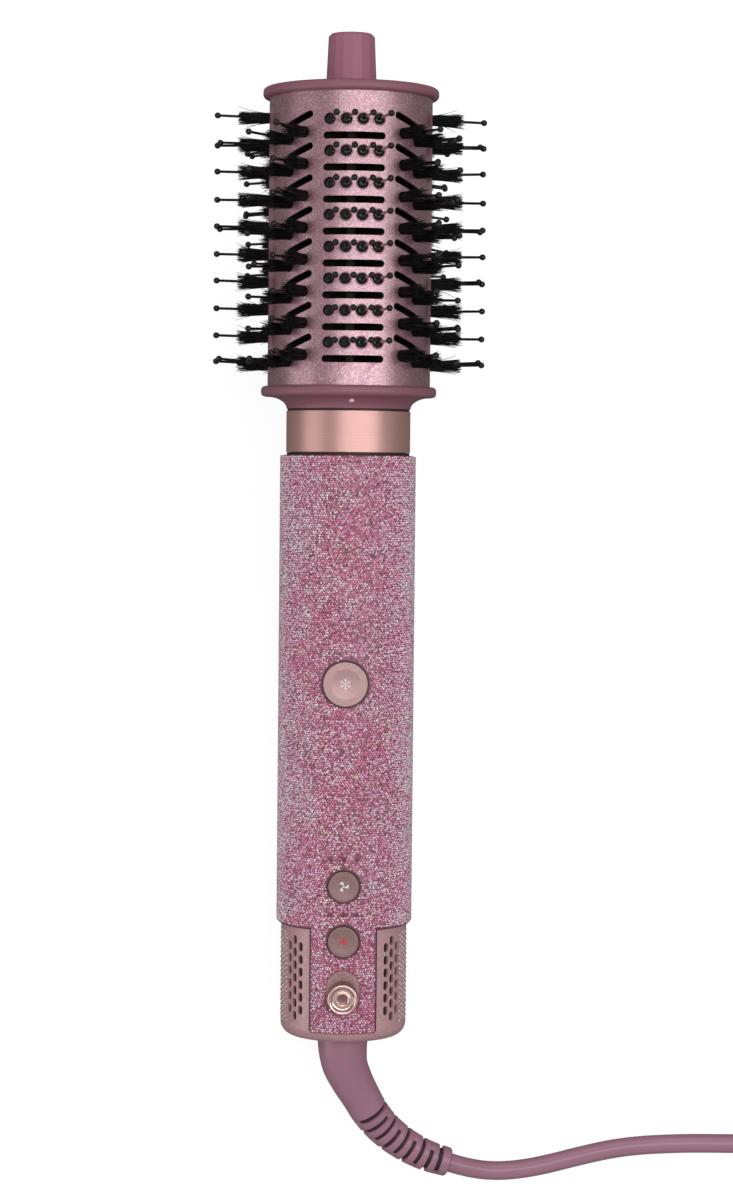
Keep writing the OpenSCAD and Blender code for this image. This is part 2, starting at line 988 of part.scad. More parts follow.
module head_base() {
    steps = 12;
    color("rosybrown")
        lay_head()
            difference() {
                union() {
                    rotate_extrude()
                        polygon(concat(
                            [[0, neck_u]],
                            [
                                for (k = [0:steps])
                                    let (u = neck_u + flare_len * sin(90 * k / steps))
                                    [flare_r(u), u]
                            ],
                            [[0, rim_u0]]
                        ));
                    rotate_extrude()
                        lip(rim_u0, rim_u1);
                    tube(barrel_in, barrel_in - register_t, rim_u1 - 1, rim_u1 + register_len);
                    rod(spigot_r, neck_u - spigot_len, neck_u + 1);
                }
                rod(spigot_in, neck_u - spigot_len - 1, rim_u1 + 5);
                dot(0.8, 0.6, 2);
            }
}

module head_gasket() {
    color("black")
        lay_head()
            tube(collar_r - 0.3, spigot_r, collar_u1 + ring_gap, neck_u);
}

// A round mark on the flare, square to its surface
module dot(r, deep, h) {
    u = neck_u + 0.62 * flare_len;
    facing(u, 0)
        translate([0, 0, flare_r(u)])
            rotate([58, 0, 0])
                translate([0, 0, -deep])
                    cylinder(r = r, h = h, $fn = 32);
}

module lock_dot() {
    color("white")
        lay_head()
            dot(0.8, 0.6, 0.75);
}

// The cuts that let bristles and air through a wall between two radii
module pin_holes(group, r0, r1, d) {
    for (k = [0:rows - 1], i = [0:3])
        facing(row_u0 + row_pitch * k, group + (i - 1.5) * hole_step)
            rod(d / 2, r0, r1, $fn = 32);
}

module straight_slots(group, r0, r1, more) {
    for (k = [0:rows - 1])
        facing(row_u0 + row_pitch * k - slot_drop, group)
            translate([0, 0, r0])
                oblong(2 * barrel_r * sin(slot_span / 2) + more, slot_w + more, r1 - r0);
}

module tuft_holes(group, side, r0, r1, d) {
    for (k = [0:rows - 1], t = [near_tuft, far_tuft])
        facing(row_u0 + row_pitch * k + t[1], group + side * t[0])
            rod(d / 2, r0, r1, $fn = 32);
}

module chevron_slots(group, side, r0, r1, more) {
    for (k = [0:rows - 1])
        facing(row_u0 + row_pitch * k, group + side * chevron_angle)
            translate([0, 0, r0])
                rotate([0, 0, -side * chevron_tilt])
                    oblong(
                        barrel_r * chevron_span * PI / 180 / cos(chevron_tilt) + slot_w + more,
                        slot_w + more,
                        r1 - r0
                    );
}

module barrel() {
    r0 = barrel_in - 2;
    r1 = barrel_r + 2;
    color("palevioletred")
        lay_head()
            difference() {
                tube(barrel_r, barrel_in, rim_u1, cap_u0);
                for (group = [0, 180]) {
                    pin_holes(group, r0, r1, hole_d);
                    straight_slots(group, r0, r1, 0);
                    for (side = [-1, 1]) {
                        tuft_holes(group, side, r0, r1, hole_d);
                        chevron_slots(group, side, r0, r1, 0);
                    }
                }
                for (side = [-90, 90])
                    sector(r1, r0, side_u0 - 3.2, side_u0 + side_pitch * (side_rows - 1) + 3.2,
                        side, side_half + 0.3);
            }
}

module head_frame() {
    color("dimgray")
        lay_head()
            difference() {
                union() {
                    rod(fan_hub_r, rim_u1, cap_u0 - 2.5);
                    intersection() {
                        for (a = fin_angles)
                            facing(0, a)
                                translate([-fin_t / 2, rim_u1, 0])
                                    cube([fin_t, cap_u0 - 2.5 - rim_u1, barrel_r]);
                        rod(carrier_in, rim_u1, cap_u0);
                    }
                }
                tube(barrel_r, barrel_in - register_t, rim_u1 - 1, rim_u1 + register_len);
                rod(1.5, cap_u0 - 16, cap_u0);
            }
}

// A nylon pin with a ball tip, from the strip to its leaning tip
module nylon_pin(from, to, root_r, end_r) {
    start = [root_r * sin(from), -root_r * cos(from), 0];
    finish = [end_r * sin(to), -end_r * cos(to), 0];
    run = finish - start;
    translate(start)
        rotate([90, 0, atan2(run[0], -run[1])]) {
            cylinder(d = stem_d, h = norm(run), $fn = 24);
            translate([0, 0, norm(run)])
                sphere(d = ball_d, $fn = 32);
        }
}

module pin_strip(group) {
    difference() {
        union() {
            sector(barrel_in, carrier_in, carrier_u0, carrier_u1, group, pin_half);
            pin_holes(group, carrier_in + 0.5, barrel_r - 0.6, boss_d);
        }
        straight_slots(group, carrier_in - 2, barrel_r + 2, 0.6);
    }
}

module pin_strips() {
    color("black")
        lay_head() {
            pin_strip(0);
            pin_strip(180);
        }
}

module pins(group, lean) {
    color("black")
        lay_head()
            for (k = [0:rows - 1], i = [-1.5:1.5])
                translate([0, 0, row_u0 + row_pitch * k])
                    nylon_pin(
                        group + i * hole_step, group + lean + i * tip_step,
                        carrier_in + 1, pin_r - ball_d / 2
                    );
}

module front_pins() {
    pins(0, front_lean);
}

module back_pins() {
    pins(180, back_lean);
}

module tuft_carriers() {
    middle = (tuft_from + tuft_to) / 2;
    color("black")
        lay_head()
            difference() {
                for (group = [0, 180], side = [-1, 1])
                    sector(barrel_in, carrier_in, carrier_u0, carrier_u1,
                        group + side * middle, middle - tuft_from);
                for (group = [0, 180], side = [-1, 1]) {
                    tuft_holes(group, side, carrier_in - 2, barrel_r + 2, tuft_d);
                    chevron_slots(group, side, carrier_in - 2, barrel_r + 2, 0.4);
                }
            }
}

// A boar tuft that spreads outwards, with a nylon pin in its middle
module tuft(u, angle) {
    facing(u, angle) {
        rod(tuft_d / 2, carrier_in, barrel_r);
        translate([0, 0, barrel_r])
            cylinder(d1 = tuft_d, d2 = tuft_d + 1.6, h = tuft_out);
        rod(stem_d / 2, barrel_r, pin_r - ball_d / 2, $fn = 24);
        translate([0, 0, pin_r - ball_d / 2])
            sphere(d = ball_d, $fn = 32);
    }
}

module tuft_group(group, side) {
    color("black")
        lay_head()
            for (k = [0:rows - 1], t = [near_tuft, far_tuft])
                tuft(row_u0 + row_pitch * k + t[1], group + side * t[0]);
}

module front_left_tufts() {
    tuft_group(0, -1);
}

module front_right_tufts() {
    tuft_group(0, 1);
}

module back_left_tufts() {
    tuft_group(180, 1);
}

module back_right_tufts() {
    tuft_group(180, -1);
}

// The strips that fill the barrel's side windows
module side_strip(angle) {
    window_u0 = side_u0 - 3;
    window_u1 = side_u0 + side_pitch * (side_rows - 1) + 3;
    difference() {
        union() {
            sector(barrel_r, barrel_in - 0.5, window_u0, window_u1, angle, side_half);
            sector(barrel_in, carrier_in, carrier_u0, carrier_u1, angle, side_flange);
        }
        for (k = [0:side_rows - 1])
            facing(side_u0 + side_pitch * k, angle)
                rod(tuft_d / 2, carrier_in - 1, barrel_r + 1, $fn = 32);
    }
}

module side_strips() {
    color("palevioletred")
        lay_head() {
            side_strip(-90);
            side_strip(90);
        }
}

module side_tufts(angle) {
    color("black")
        lay_head()
            for (k = [0:side_rows - 1])
                tuft(side_u0 + side_pitch * k, angle);
}

module left_side_tufts() {
    side_tufts(-90);
}

module right_side_tufts() {
    side_tufts(90);
}

module end_cap() {
    color("rosybrown")
        lay_head()
            difference() {
                union() {
                    rotate_extrude()
                        lip(cap_u0, cap_u1);
                    tube(barrel_in, barrel_in - register_t, cap_u0 - 2.5, cap_u0 + 1);
                    rod(6, cap_u0 - 2.5, cap_u0 + 1);
                    rod(tip_boss_r, cap_u0, cap_u1 + 3);
                }
                rod(1.6, cap_u0 - 5, cap_u1 + 5);
                rod(2.9, cap_u1 + 1, cap_u1 + 5);
            }
}

module facet_slice(r, u) {
    translate([0, 0, u])
        linear_extrude(eps)
            circle(r = r, $fn = 16);
}

module cool_tip() {
    foot_r = tip_d / 2 + 0.5;
    color("rosybrown")
        lay_head()
            rotate([0, 0, 90])
                difference() {
                    union() {
                        translate([0, 0, cap_u1])
                            cylinder(r = foot_r, h = 0.8, $fn = tip_facets);
                        hull() {
                            facet_slice(tip_d / 2 + 0.2, cap_u1 + 0.5);
                            facet_slice(tip_d / 2 - 0.5, tip_u - tip_edge);
                            facet_slice(tip_top_r, tip_u - eps);
                        }
                    }
                    rod(tip_boss_r, cap_u1 - 1, cap_u1 + 3.2);
                }
}

module tip_screw() {
    color("silver")
        lay_head() {
            rod(1.5, cap_u0 - 14, cap_u1 + 1.1);
            rod(2.7, cap_u1 + 1, cap_u1 + 2.8);
        }
}

swivel_collar();
slip_rings();
boot();
cord();
coil();
plug_lead();
cord_tie();
plug_body();
plug_pins();
intake_cage();
filter_mesh();
swivel_retainer();
retainer_screws();
contact_block();
rear_shell();
front_shell();
shell_screws();
crystal_sleeve();
button_bezels();
led_lenses();
control_board();
tact_switches();
slide_switch();
fan_shroud();
fan_mounts();
stator_vanes();
motor_can();
heater_tube();
heater_frame();
heater_coil();
thermal_cutout();
nose_socket();
nose_gasket();
motor_shaft();
armature();
impeller();
cool_button();
fan_button();
heat_button();
power_knob();
lock_ring();
head_base();
head_gasket();
lock_dot();
barrel();
head_frame();
pin_strips();
front_pins();
back_pins();
tuft_carriers();
front_left_tufts();
front_right_tufts();
back_left_tufts();
back_right_tufts();
side_strips();
left_side_tufts();
right_side_tufts();
end_cap();
cool_tip();
tip_screw();
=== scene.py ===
import math
import random

import bpy
import numpy as np
from mathutils import Matrix, Vector


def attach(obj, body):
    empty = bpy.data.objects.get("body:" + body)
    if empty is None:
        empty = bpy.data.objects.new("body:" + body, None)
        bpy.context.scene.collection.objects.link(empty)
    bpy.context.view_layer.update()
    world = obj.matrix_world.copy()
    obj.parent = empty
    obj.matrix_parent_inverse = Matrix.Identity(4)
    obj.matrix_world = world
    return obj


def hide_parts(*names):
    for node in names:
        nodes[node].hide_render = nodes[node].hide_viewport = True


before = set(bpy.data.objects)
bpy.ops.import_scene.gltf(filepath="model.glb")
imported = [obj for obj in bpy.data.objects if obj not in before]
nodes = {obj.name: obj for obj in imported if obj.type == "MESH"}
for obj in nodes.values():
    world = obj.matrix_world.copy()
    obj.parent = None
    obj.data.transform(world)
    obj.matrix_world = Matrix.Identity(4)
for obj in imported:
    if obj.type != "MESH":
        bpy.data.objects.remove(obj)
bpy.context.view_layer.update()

# ---------------------------------------------------------------- how the brush lies
# The axis leans up by TILT from the tail. Pieces are drawn in millimetres with that axis on +Z
# (height u) and the buttons towards -Y, and LAY lays them down in metres.
TILT = math.radians(6.1037)
TAIL = Vector((0, -0.15496, 0.019186))
ALONG = Vector((0, math.cos(TILT), math.sin(TILT)))
OUT = Vector((0, -math.sin(TILT), math.cos(TILT)))
WORLD = Matrix.Scale(0.001, 4)
LAY = Matrix.Translation(TAIL) @ Matrix.Rotation(TILT - math.pi / 2, 4, "X") @ WORLD
HEAD_TURN = math.radians(3)
HEAD = LAY @ Matrix.Rotation(HEAD_TURN, 4, "Z")

# ---------------------------------------------------------------- sizes shared with the CAD
SLEEVE_R, SLEEVE_LOW, SLEEVE_HIGH = 21, 35.4, 181.9
CAGE_R = 19.7
TONGUE_HALF, TONGUE_LOW = 10.1, 3.9
COOL_U, COOL_D = 111.6, 13.6
FAN_U, HEAT_U, BUTTON_D = 49.1, 32.0, 9.4
LED_ROWS, LED_PITCH = (40.2, 57.4), 4
KNOB_U, KNOB_TRAVEL = 14.8, 3.0
SLOT_MIDDLE = KNOB_U + KNOB_TRAVEL / 2
BARREL_R, HOLE_R = 25.4, 1.75
ROWS, ROW_U0, ROW_PITCH = 8, 216.15, 9.671
ROW_U = [ROW_U0 + ROW_PITCH * k for k in range(ROWS)]
HOLE_STEP = 11.55
NEAR, FAR = (36.8, -3.77), (50, -5.66)
SIDE_TUFTS, SIDE_U0, SIDE_PITCH = 10, 210, 8.5


def facing(u, angle):
    """From a piece drawn flat, with +Z out, to its place on the axis."""
    return (Matrix.Translation((0, 0, u)) @ Matrix.Rotation(math.radians(angle), 4, "Z")
            @ Matrix.Rotation(math.pi / 2, 4, "X"))


# ---------------------------------------------------------------- camera
CAMERA_AT = (0.0062, -0.07905, 0.9777)
CAMERA_TIP, CAMERA_ROLL = math.radians(2.47), math.radians(0.54)
LENS_MM, SENSOR_MM = 90.45, 36


def make_camera():
    """Looks down on the buttons, tipped a little towards the tip and rolled a little."""
    tip, roll = CAMERA_TIP, CAMERA_ROLL
    ahead = -OUT * math.cos(tip) - ALONG * math.sin(tip)
    up = ALONG * math.cos(tip) - OUT * math.sin(tip)
    right = ahead.cross(up)
    top = up * math.cos(roll) - right * math.sin(roll)
    side = right * math.cos(roll) + up * math.sin(roll)
    cam = bpy.data.cameras.new("camera")
    cam.sensor_fit = "VERTICAL"
    cam.sensor_height = SENSOR_MM
    cam.lens = LENS_MM
    cam.clip_start = 0.01
    cam.clip_end = 20
    obj = bpy.data.objects.new("camera", cam)
    turn = Matrix((side, top, -ahead)).transposed().to_4x4()
    obj.matrix_world = Matrix.Translation(CAMERA_AT) @ turn
    bpy.context.scene.collection.objects.link(obj)
    bpy.context.scene.camera = obj


make_camera()


# ---------------------------------------------------------------- mesh helpers
def mesh_object(name, verts, faces, mat, body, matrix=WORLD, smooth=True):
    """A piece that rides on a body. The matrix takes it to metres in the frame."""
    pts = np.asarray(verts, dtype=float)
    m = np.array(matrix)
    pts = pts @ m[:3, :3].T + m[:3, 3]
    me = bpy.data.meshes.new(name)
    me.from_pydata(pts.tolist(), [], faces)
    me.polygons.foreach_set("use_smooth", [smooth] * len(me.polygons))
    me.update()
    obj = bpy.data.objects.new(name, me)
    bpy.context.scene.collection.objects.link(obj)
    me.materials.append(mat)
    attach(obj, body)
    return obj


def ring_faces(rings, sides, first=0):
    """Quads that join closed rings of points, one ring to the next."""
    faces = []
    for i in range(rings - 1):
        for k in range(sides):
            a, b = first + i * sides + k, first + i * sides + (k + 1) % sides
            faces.append((a, b, b + sides, a + sides))
    return faces


def end_faces(rings, sides):
    """The two faces that close the first and the last ring."""
    return [tuple(reversed(range(sides))), tuple(range((rings - 1) * sides, rings * sides))]


def lathe(profile, sides):
    """A profile of (radius, height) turned round Z, closed at both ends."""
    verts = []
    for r, z in profile:
        for k in range(sides):
            a = 2 * math.pi * k / sides
            verts.append((r * math.cos(a), r * math.sin(a), z))
    return verts, ring_faces(len(profile), sides) + end_faces(len(profile), sides)


def smooth_path(points, step):
    """A Catmull-Rom curve through the points, sampled about every step."""
    p = [Vector(q) for q in points]
    p = [p[0] * 2 - p[1]] + p + [p[-1] * 2 - p[-2]]
    out = []
    for i in range(1, len(p) - 2):
        n = max(2, int((p[i + 1] - p[i]).length / step))
        for k in range(n):
            t = k / n
            out.append(0.5 * ((2 * p[i]) + (p[i + 1] - p[i - 1]) * t
                              + (2 * p[i - 1] - 5 * p[i] + 4 * p[i + 1] - p[i + 2]) * t * t
                              + (3 * p[i] - p[i - 1] - 3 * p[i + 1] + p[i + 2]) * t ** 3))
    out.append(p[-2])
    return out


def sweep(path, radii, sides):
    """A round bar along a path, closed at both ends."""
    verts, side = [], None
    for i, p in enumerate(path):
        t = (path[min(i + 1, len(path) - 1)] - path[max(i - 1, 0)]).normalized()
        side = t.cross(Vector((0, 0, 1))) if side is None else side - t * side.dot(t)
        side.normalize()
        up = side.cross(t)
        for k in range(sides):
            a = 2 * math.pi * k / sides
            verts.append(p + (side * math.cos(a) + up * math.sin(a)) * radii[i])
    return verts, ring_faces(len(path), sides) + end_faces(len(path), sides)


# ---------------------------------------------------------------- materials
def nodes_of(name):
    """A new material with its node tree and its shader."""
    mat = bpy.data.materials.new(name)
    mat.use_nodes = True
    tree = mat.node_tree
    return mat, tree, tree.nodes["Principled BSDF"]


def add(tree, kind, **sockets):
    """A new shader node with its sockets or settings filled in."""
    node = tree.nodes.new(kind)
    for key, value in sockets.items():
        if key in node.inputs:
            node.inputs[key].default_value = value
        else:
            setattr(node, key, value)
    return node


def ramp(tree, fac, stops):
    node = tree.nodes.new("ShaderNodeValToRGB")
    elements = node.color_ramp.elements
    while len(elements) < len(stops):
        elements.new(0.5)
    for element, (place, colour) in zip(elements, stops):
        element.position = place
        element.color = (*colour, 1)
    tree.links.new(fac, node.inputs["Fac"])
    return node.outputs["Color"]


def shade(colour, k):
    """The colour made k times as bright."""
    return tuple(min(1.0, c * k) for c in colour)


def finish_material(name, colour, rough, vary=0.1, patch=60.0, grain=1500.0, bump=0.08,
                    depth=0.0001, rough_vary=0.08, stretch=(1, 1, 1), metal=0.0, **fixed):
    """Mottled colour, uneven roughness and a fine surface grain."""
    mat, tree, bsdf = nodes_of(name)
    link = tree.links.new
    coords = tree.nodes.new("ShaderNodeTexCoord")
    frame_map = add(tree, "ShaderNodeMapping", vector_type="TEXTURE")
    frame_map.inputs["Location"].default_value = TAIL
    frame_map.inputs["Rotation"].default_value = (TILT - math.pi / 2, 0, 0)
    link(coords.outputs["Object"], frame_map.inputs["Vector"])
    stretched = add(tree, "ShaderNodeMapping")
    stretched.inputs["Scale"].default_value = stretch
    link(frame_map.outputs["Vector"], stretched.inputs["Vector"])
    patches = add(tree, "ShaderNodeTexNoise", Scale=patch, Detail=4.0)
    link(stretched.outputs["Vector"], patches.inputs["Vector"])
    colours = ramp(tree, patches.outputs["Fac"],
                   [(0.3, shade(colour, 1 - vary)), (0.7, shade(colour, 1 + vary))])
    link(colours, bsdf.inputs["Base Color"])
    fine = add(tree, "ShaderNodeTexNoise", Scale=grain, Detail=3.0)
    link(stretched.outputs["Vector"], fine.inputs["Vector"])
    spread = add(tree, "ShaderNodeMapRange")
    spread.inputs["To Min"].default_value = max(0.02, rough - rough_vary)
    spread.inputs["To Max"].default_value = min(1.0, rough + rough_vary)
    link(fine.outputs["Fac"], spread.inputs["Value"])
    link(spread.outputs["Result"], bsdf.inputs["Roughness"])
    relief = add(tree, "ShaderNodeBump", Strength=bump, Distance=depth)
    link(fine.outputs["Fac"], relief.inputs["Height"])
    link(relief.outputs["Normal"], bsdf.inputs["Normal"])
    bsdf.inputs["Metallic"].default_value = metal
    for key, value in fixed.items():
        bsdf.inputs[key.replace("_", " ")].default_value = value
    return mat


def speckled(name, colour, fleck, rough, **fixed):
    """Paint with fine metallic flecks."""
    mat = finish_material(name, colour, rough, vary=0.05, patch=35, grain=2600, bump=0.05,
                          depth=0.00005, **fixed)
    tree = mat.node_tree
    bsdf = tree.nodes["Principled BSDF"]
    under = bsdf.inputs["Base Color"].links[0].from_socket
    coords = tree.nodes.new("ShaderNodeTexCoord")
    cells = add(tree, "ShaderNodeTexVoronoi", Scale=4200.0)
    tree.links.new(coords.outputs["Object"], cells.inputs["Vector"])
    split = tree.nodes.new("ShaderNodeSeparateColor")
    tree.links.new(cells.outputs["Color"], split.inputs["Color"])
    amount = ramp(tree, split.outputs["Red"],
                  [(0.0, (0, 0, 0)), (0.5, (0.12,) * 3), (0.82, (0.40,) * 3), (1.0, (0.85,) * 3)])
    mix = add(tree, "ShaderNodeMix", data_type="RGBA")
    tree.links.new(amount, mix.inputs["Factor"])
    tree.links.new(under, mix.inputs[6])
    mix.inputs[7].default_value = (*fleck, 1)
    tree.links.new(mix.outputs[2], bsdf.inputs["Base Color"])
    return mat


ROSE = (0.262, 0.100, 0.142)
RUBBER = (0.38, 0.185, 0.255)
M = {
    "rose": finish_material("rose_plastic", ROSE, 0.42, vary=0.06, patch=55, grain=2400,
                            bump=0.10, depth=0.00006, rough_vary=0.06),
    "tip": finish_material("tip_plastic", (0.37, 0.140, 0.205), 0.40, vary=0.06, patch=55,
                           grain=2400, bump=0.10, depth=0.00006, rough_vary=0.06),
    "cage": speckled("cage_plastic", (0.50, 0.265, 0.290), (0.70, 0.50, 0.50), 0.42, metal=0.15),
    "plate": speckled("plate_paint", (0.33, 0.18, 0.18), (0.62, 0.42, 0.38), 0.38),
    "button": speckled("button_plastic", (0.44, 0.265, 0.270), (0.56, 0.38, 0.38), 0.34,
                       metal=0.4),
    "button_low": speckled("button_dark", (0.27, 0.155, 0.150), (0.38, 0.25, 0.25), 0.38,
                           metal=0.3),
    "lead": finish_material("lead_rubber", RUBBER, 0.31, vary=0.06, grain=1800, bump=0.08,
                            rough_vary=0.05),
    "barrel": speckled("barrel_paint", (0.31, 0.110, 0.160), (0.74, 0.53, 0.59), 0.38,
                       metal=0.75, Coat_Weight=0.65, Coat_Roughness=0.29, Coat_IOR=2.1),
    "strip": speckled("strip_paint", (0.40, 0.170, 0.235), (0.75, 0.50, 0.56), 0.38, metal=0.5),
    "ring": finish_material("rose_metal", (0.60, 0.345, 0.315), 0.36, vary=0.05, patch=30,
                            grain=40, stretch=(1, 1, 220), bump=0.25, depth=0.00006, metal=0.62),
    "knob": finish_material("knob_metal", (0.85, 0.60, 0.55), 0.16, vary=0.04, patch=90,
                            grain=900, rough_vary=0.05, bump=0.03, metal=1.0),
    # A darker copy of the knob's metal: painted shade for the knob's side wall and the dark parts
    # of its hollow.
    "knob_shade": finish_material("knob_shade", (0.30, 0.16, 0.16), 0.28, vary=0.08, metal=0.8),
    "black": finish_material("black_plastic", (0.008, 0.007, 0.009), 0.38, vary=0.3, bump=0.1,
                             Specular_IOR_Level=0.3),
    "gasket": finish_material("black_rubber", (0.030, 0.012, 0.014), 0.6, vary=0.3, bump=0.15),
    "dark": finish_material("dark_plastic", (0.020, 0.017, 0.020), 0.5, vary=0.2, bump=0.15),
    "nylon": finish_material("nylon", (0.006, 0.005, 0.006), 0.12, vary=0.3, bump=0.05,
                             Specular_IOR_Level=0.4),
    "hair": finish_material("bristle", (0.005, 0.0045, 0.0045), 0.42, vary=0.5, patch=900,
                            bump=0.05, Specular_IOR_Level=0.22),
    "steel": finish_material("steel", (0.55, 0.55, 0.55), 0.3, vary=0.08, grain=60,
                             stretch=(1, 1, 90), bump=0.1, metal=1.0),
    "mesh": finish_material("filter", (0.020, 0.014, 0.016), 0.6, vary=0.3, metal=0.3),
    "copper": finish_material("copper", (0.72, 0.40, 0.2), 0.28, vary=0.12, metal=1.0),
    "plated": finish_material("plated_pin", (0.70, 0.68, 0.65), 0.24, vary=0.06, metal=1.0),
    "mica": finish_material("mica", (0.62, 0.56, 0.44), 0.5, vary=0.15, patch=160),
    "board": finish_material("board", (0.02, 0.13, 0.05), 0.35, vary=0.2, patch=200),
    "white": finish_material("white_plastic", (0.75, 0.74, 0.72), 0.45, vary=0.03),
    "mark": finish_material("white_mark", (0.86, 0.80, 0.80), 0.4, vary=0.02),
    "lens": finish_material("lens", (0.16, 0.075, 0.095), 0.12, vary=0.1, bump=0.02),
    "wire": finish_material("wire", (0.45, 0.38, 0.33), 0.35, vary=0.1, metal=1.0),
    "red": finish_material("red_mark", (0.62, 0.02, 0.03), 0.4, vary=0.08),
    "sleeve": finish_material("stone_base", (0.24, 0.070, 0.115), 0.35, vary=0.25, patch=700,
                              bump=0.2),
    # A near-black that stands in for shade: painted shadow in the gaps round the tongue and
    # inside the strain relief's slots.
    "gap_shade": finish_material("gap_shade", (0.040, 0.014, 0.020), 0.6, vary=0.2),
    "bezel": finish_material("bezel", (0.085, 0.032, 0.042), 0.5, vary=0.2),
}
CAD_LOOKS = {
    "dark": ["swivel_collar", "swivel_retainer", "contact_block", "rear_shell", "front_shell",
             "fan_shroud", "stator_vanes", "nose_socket", "head_frame"],
    "copper": ["slip_rings", "armature"],
    "gasket": ["cord_tie", "fan_mounts", "nose_gasket", "head_gasket"],
    "lead": ["boot", "cord", "coil", "plug_lead", "plug_body"],
    "plated": ["plug_pins"],
    "rose": ["head_base", "end_cap"],
    "tip": ["cool_tip"],
    "cage": ["intake_cage"],
    "button": ["cool_button"],
    "button_low": ["fan_button", "heat_button"],
    "mesh": ["filter_mesh"],
    "steel": ["retainer_screws", "shell_screws", "slide_switch", "motor_can", "thermal_cutout",
              "motor_shaft", "tip_screw"],
    "sleeve": ["crystal_sleeve"],
    "bezel": ["button_bezels"],
    "black": ["tact_switches", "tuft_carriers", "pin_strips"],
    "lens": ["led_lenses"],
    "board": ["control_board"],
    "mica": ["heater_tube", "heater_frame"],
    "wire": ["heater_coil"],
    "white": ["impeller"],
    "knob": ["power_knob"],
    "ring": ["lock_ring"],
    "mark": ["lock_dot"],
    "barrel": ["barrel"],
    "nylon": ["front_pins", "back_pins"],
    "hair": ["front_left_tufts", "front_right_tufts", "back_left_tufts", "back_right_tufts",
             "left_side_tufts", "right_side_tufts"],
    "strip": ["side_strips"],
}
for look, names in CAD_LOOKS.items():
    for name in names:
        mesh = nodes[name].data
        if not mesh.materials:
            mesh.materials.append(M[look])
        for i in range(len(mesh.materials)):
            mesh.materials[i] = M[look]


# ---------------------------------------------------------------- lead and strain relief
BOOT = [(0, -154.8, 19.2), (0, -159.93, 18.65), (0.75, -165, 17.9), (2.9, -170, 16.7),
        (5.7, -175, 15.1), (8.6, -180, 13.2), (12.2, -184.6, 11.2), (16.7, -188.7, 9.4),
        (21.9, -192.2, 7.8), (27.7, -195, 6.4), (34, -196.9, 5.5)]
ROUTE = [(27.7, -195, 6.4), (31.2, -196.1, 6), (34, -196.9, 5.5), (38, -198.1, 4.6),
         (43, -199.2, 3.7), (48, -199.7, 3.2), (53, -199.6, 3), (60, -198.7, 3), (67, -197.2, 3),
         (74, -195.4, 3), (81, -193.7, 3), (88, -192.3, 3), (95, -191.4, 3), (102, -190.9, 3),
         (109, -190.6, 3), (117, -190.5, 3), (126, -190.5, 3), (136, -190.5, 3),
         (146, -190.5, 3), (156, -190.5, 3), (166, -190.5, 3)]
COIL_AT = (176, -148.5)
COIL_RADII = [42, 36, 30, 24, 24, 30, 36, 42, 42]
LOW_TURNS = 3
LOW_Z, HIGH_Z = 3, 9
CORD_R = 0.003
PLUG_X = 218
TO_PLUG = [(PLUG_X, y, HIGH_Z) for y in (-138, -128, -118, -108)]


def ease(t):
    """A smooth step from 0 to 1."""
    t = min(1.0, max(0.0, t))
    return t * t * (3 - 2 * t)


def coil_points():
    """Turns that wind inwards on the table, then outwards on top of those."""
    turns = len(COIL_RADII) - 1
    points = []
    for deg in range(0, turns * 360 + 91, 15):
        turn, phase = divmod(deg, 360)
        r = COIL_RADII[turn]
        if turn < turns:
            r += (COIL_RADII[turn + 1] - r) * ease((phase - 240) / 60)
        z = LOW_Z if turn < LOW_TURNS else HIGH_Z
        if turn == LOW_TURNS:
            z = LOW_Z + (HIGH_Z - LOW_Z) * ease((phase - 310) / 50)
        a = math.radians(deg - 90)
        points.append((COIL_AT[0] + r * math.cos(a), COIL_AT[1] + r * math.sin(a), z))
    return points


def make_cord():
    points = ROUTE + coil_points() + TO_PLUG
    curve = bpy.data.curves.new("lead", "CURVE")
    curve.dimensions = "3D"
    curve.bevel_depth = CORD_R
    curve.bevel_resolution = 5
    curve.resolution_u = 5
    curve.use_fill_caps = True
    line = curve.splines.new("BEZIER")
    line.bezier_points.add(len(points) - 1)
    for q, p in zip(line.bezier_points, points):
        q.co = Vector(p) * 0.001
        q.handle_left_type = q.handle_right_type = "AUTO"
    curve.materials.append(M["lead"])
    obj = bpy.data.objects.new("lead", curve)
    bpy.context.scene.collection.objects.link(obj)
    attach(obj, "cord_set")
    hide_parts("cord", "coil", "plug_lead")
    return obj


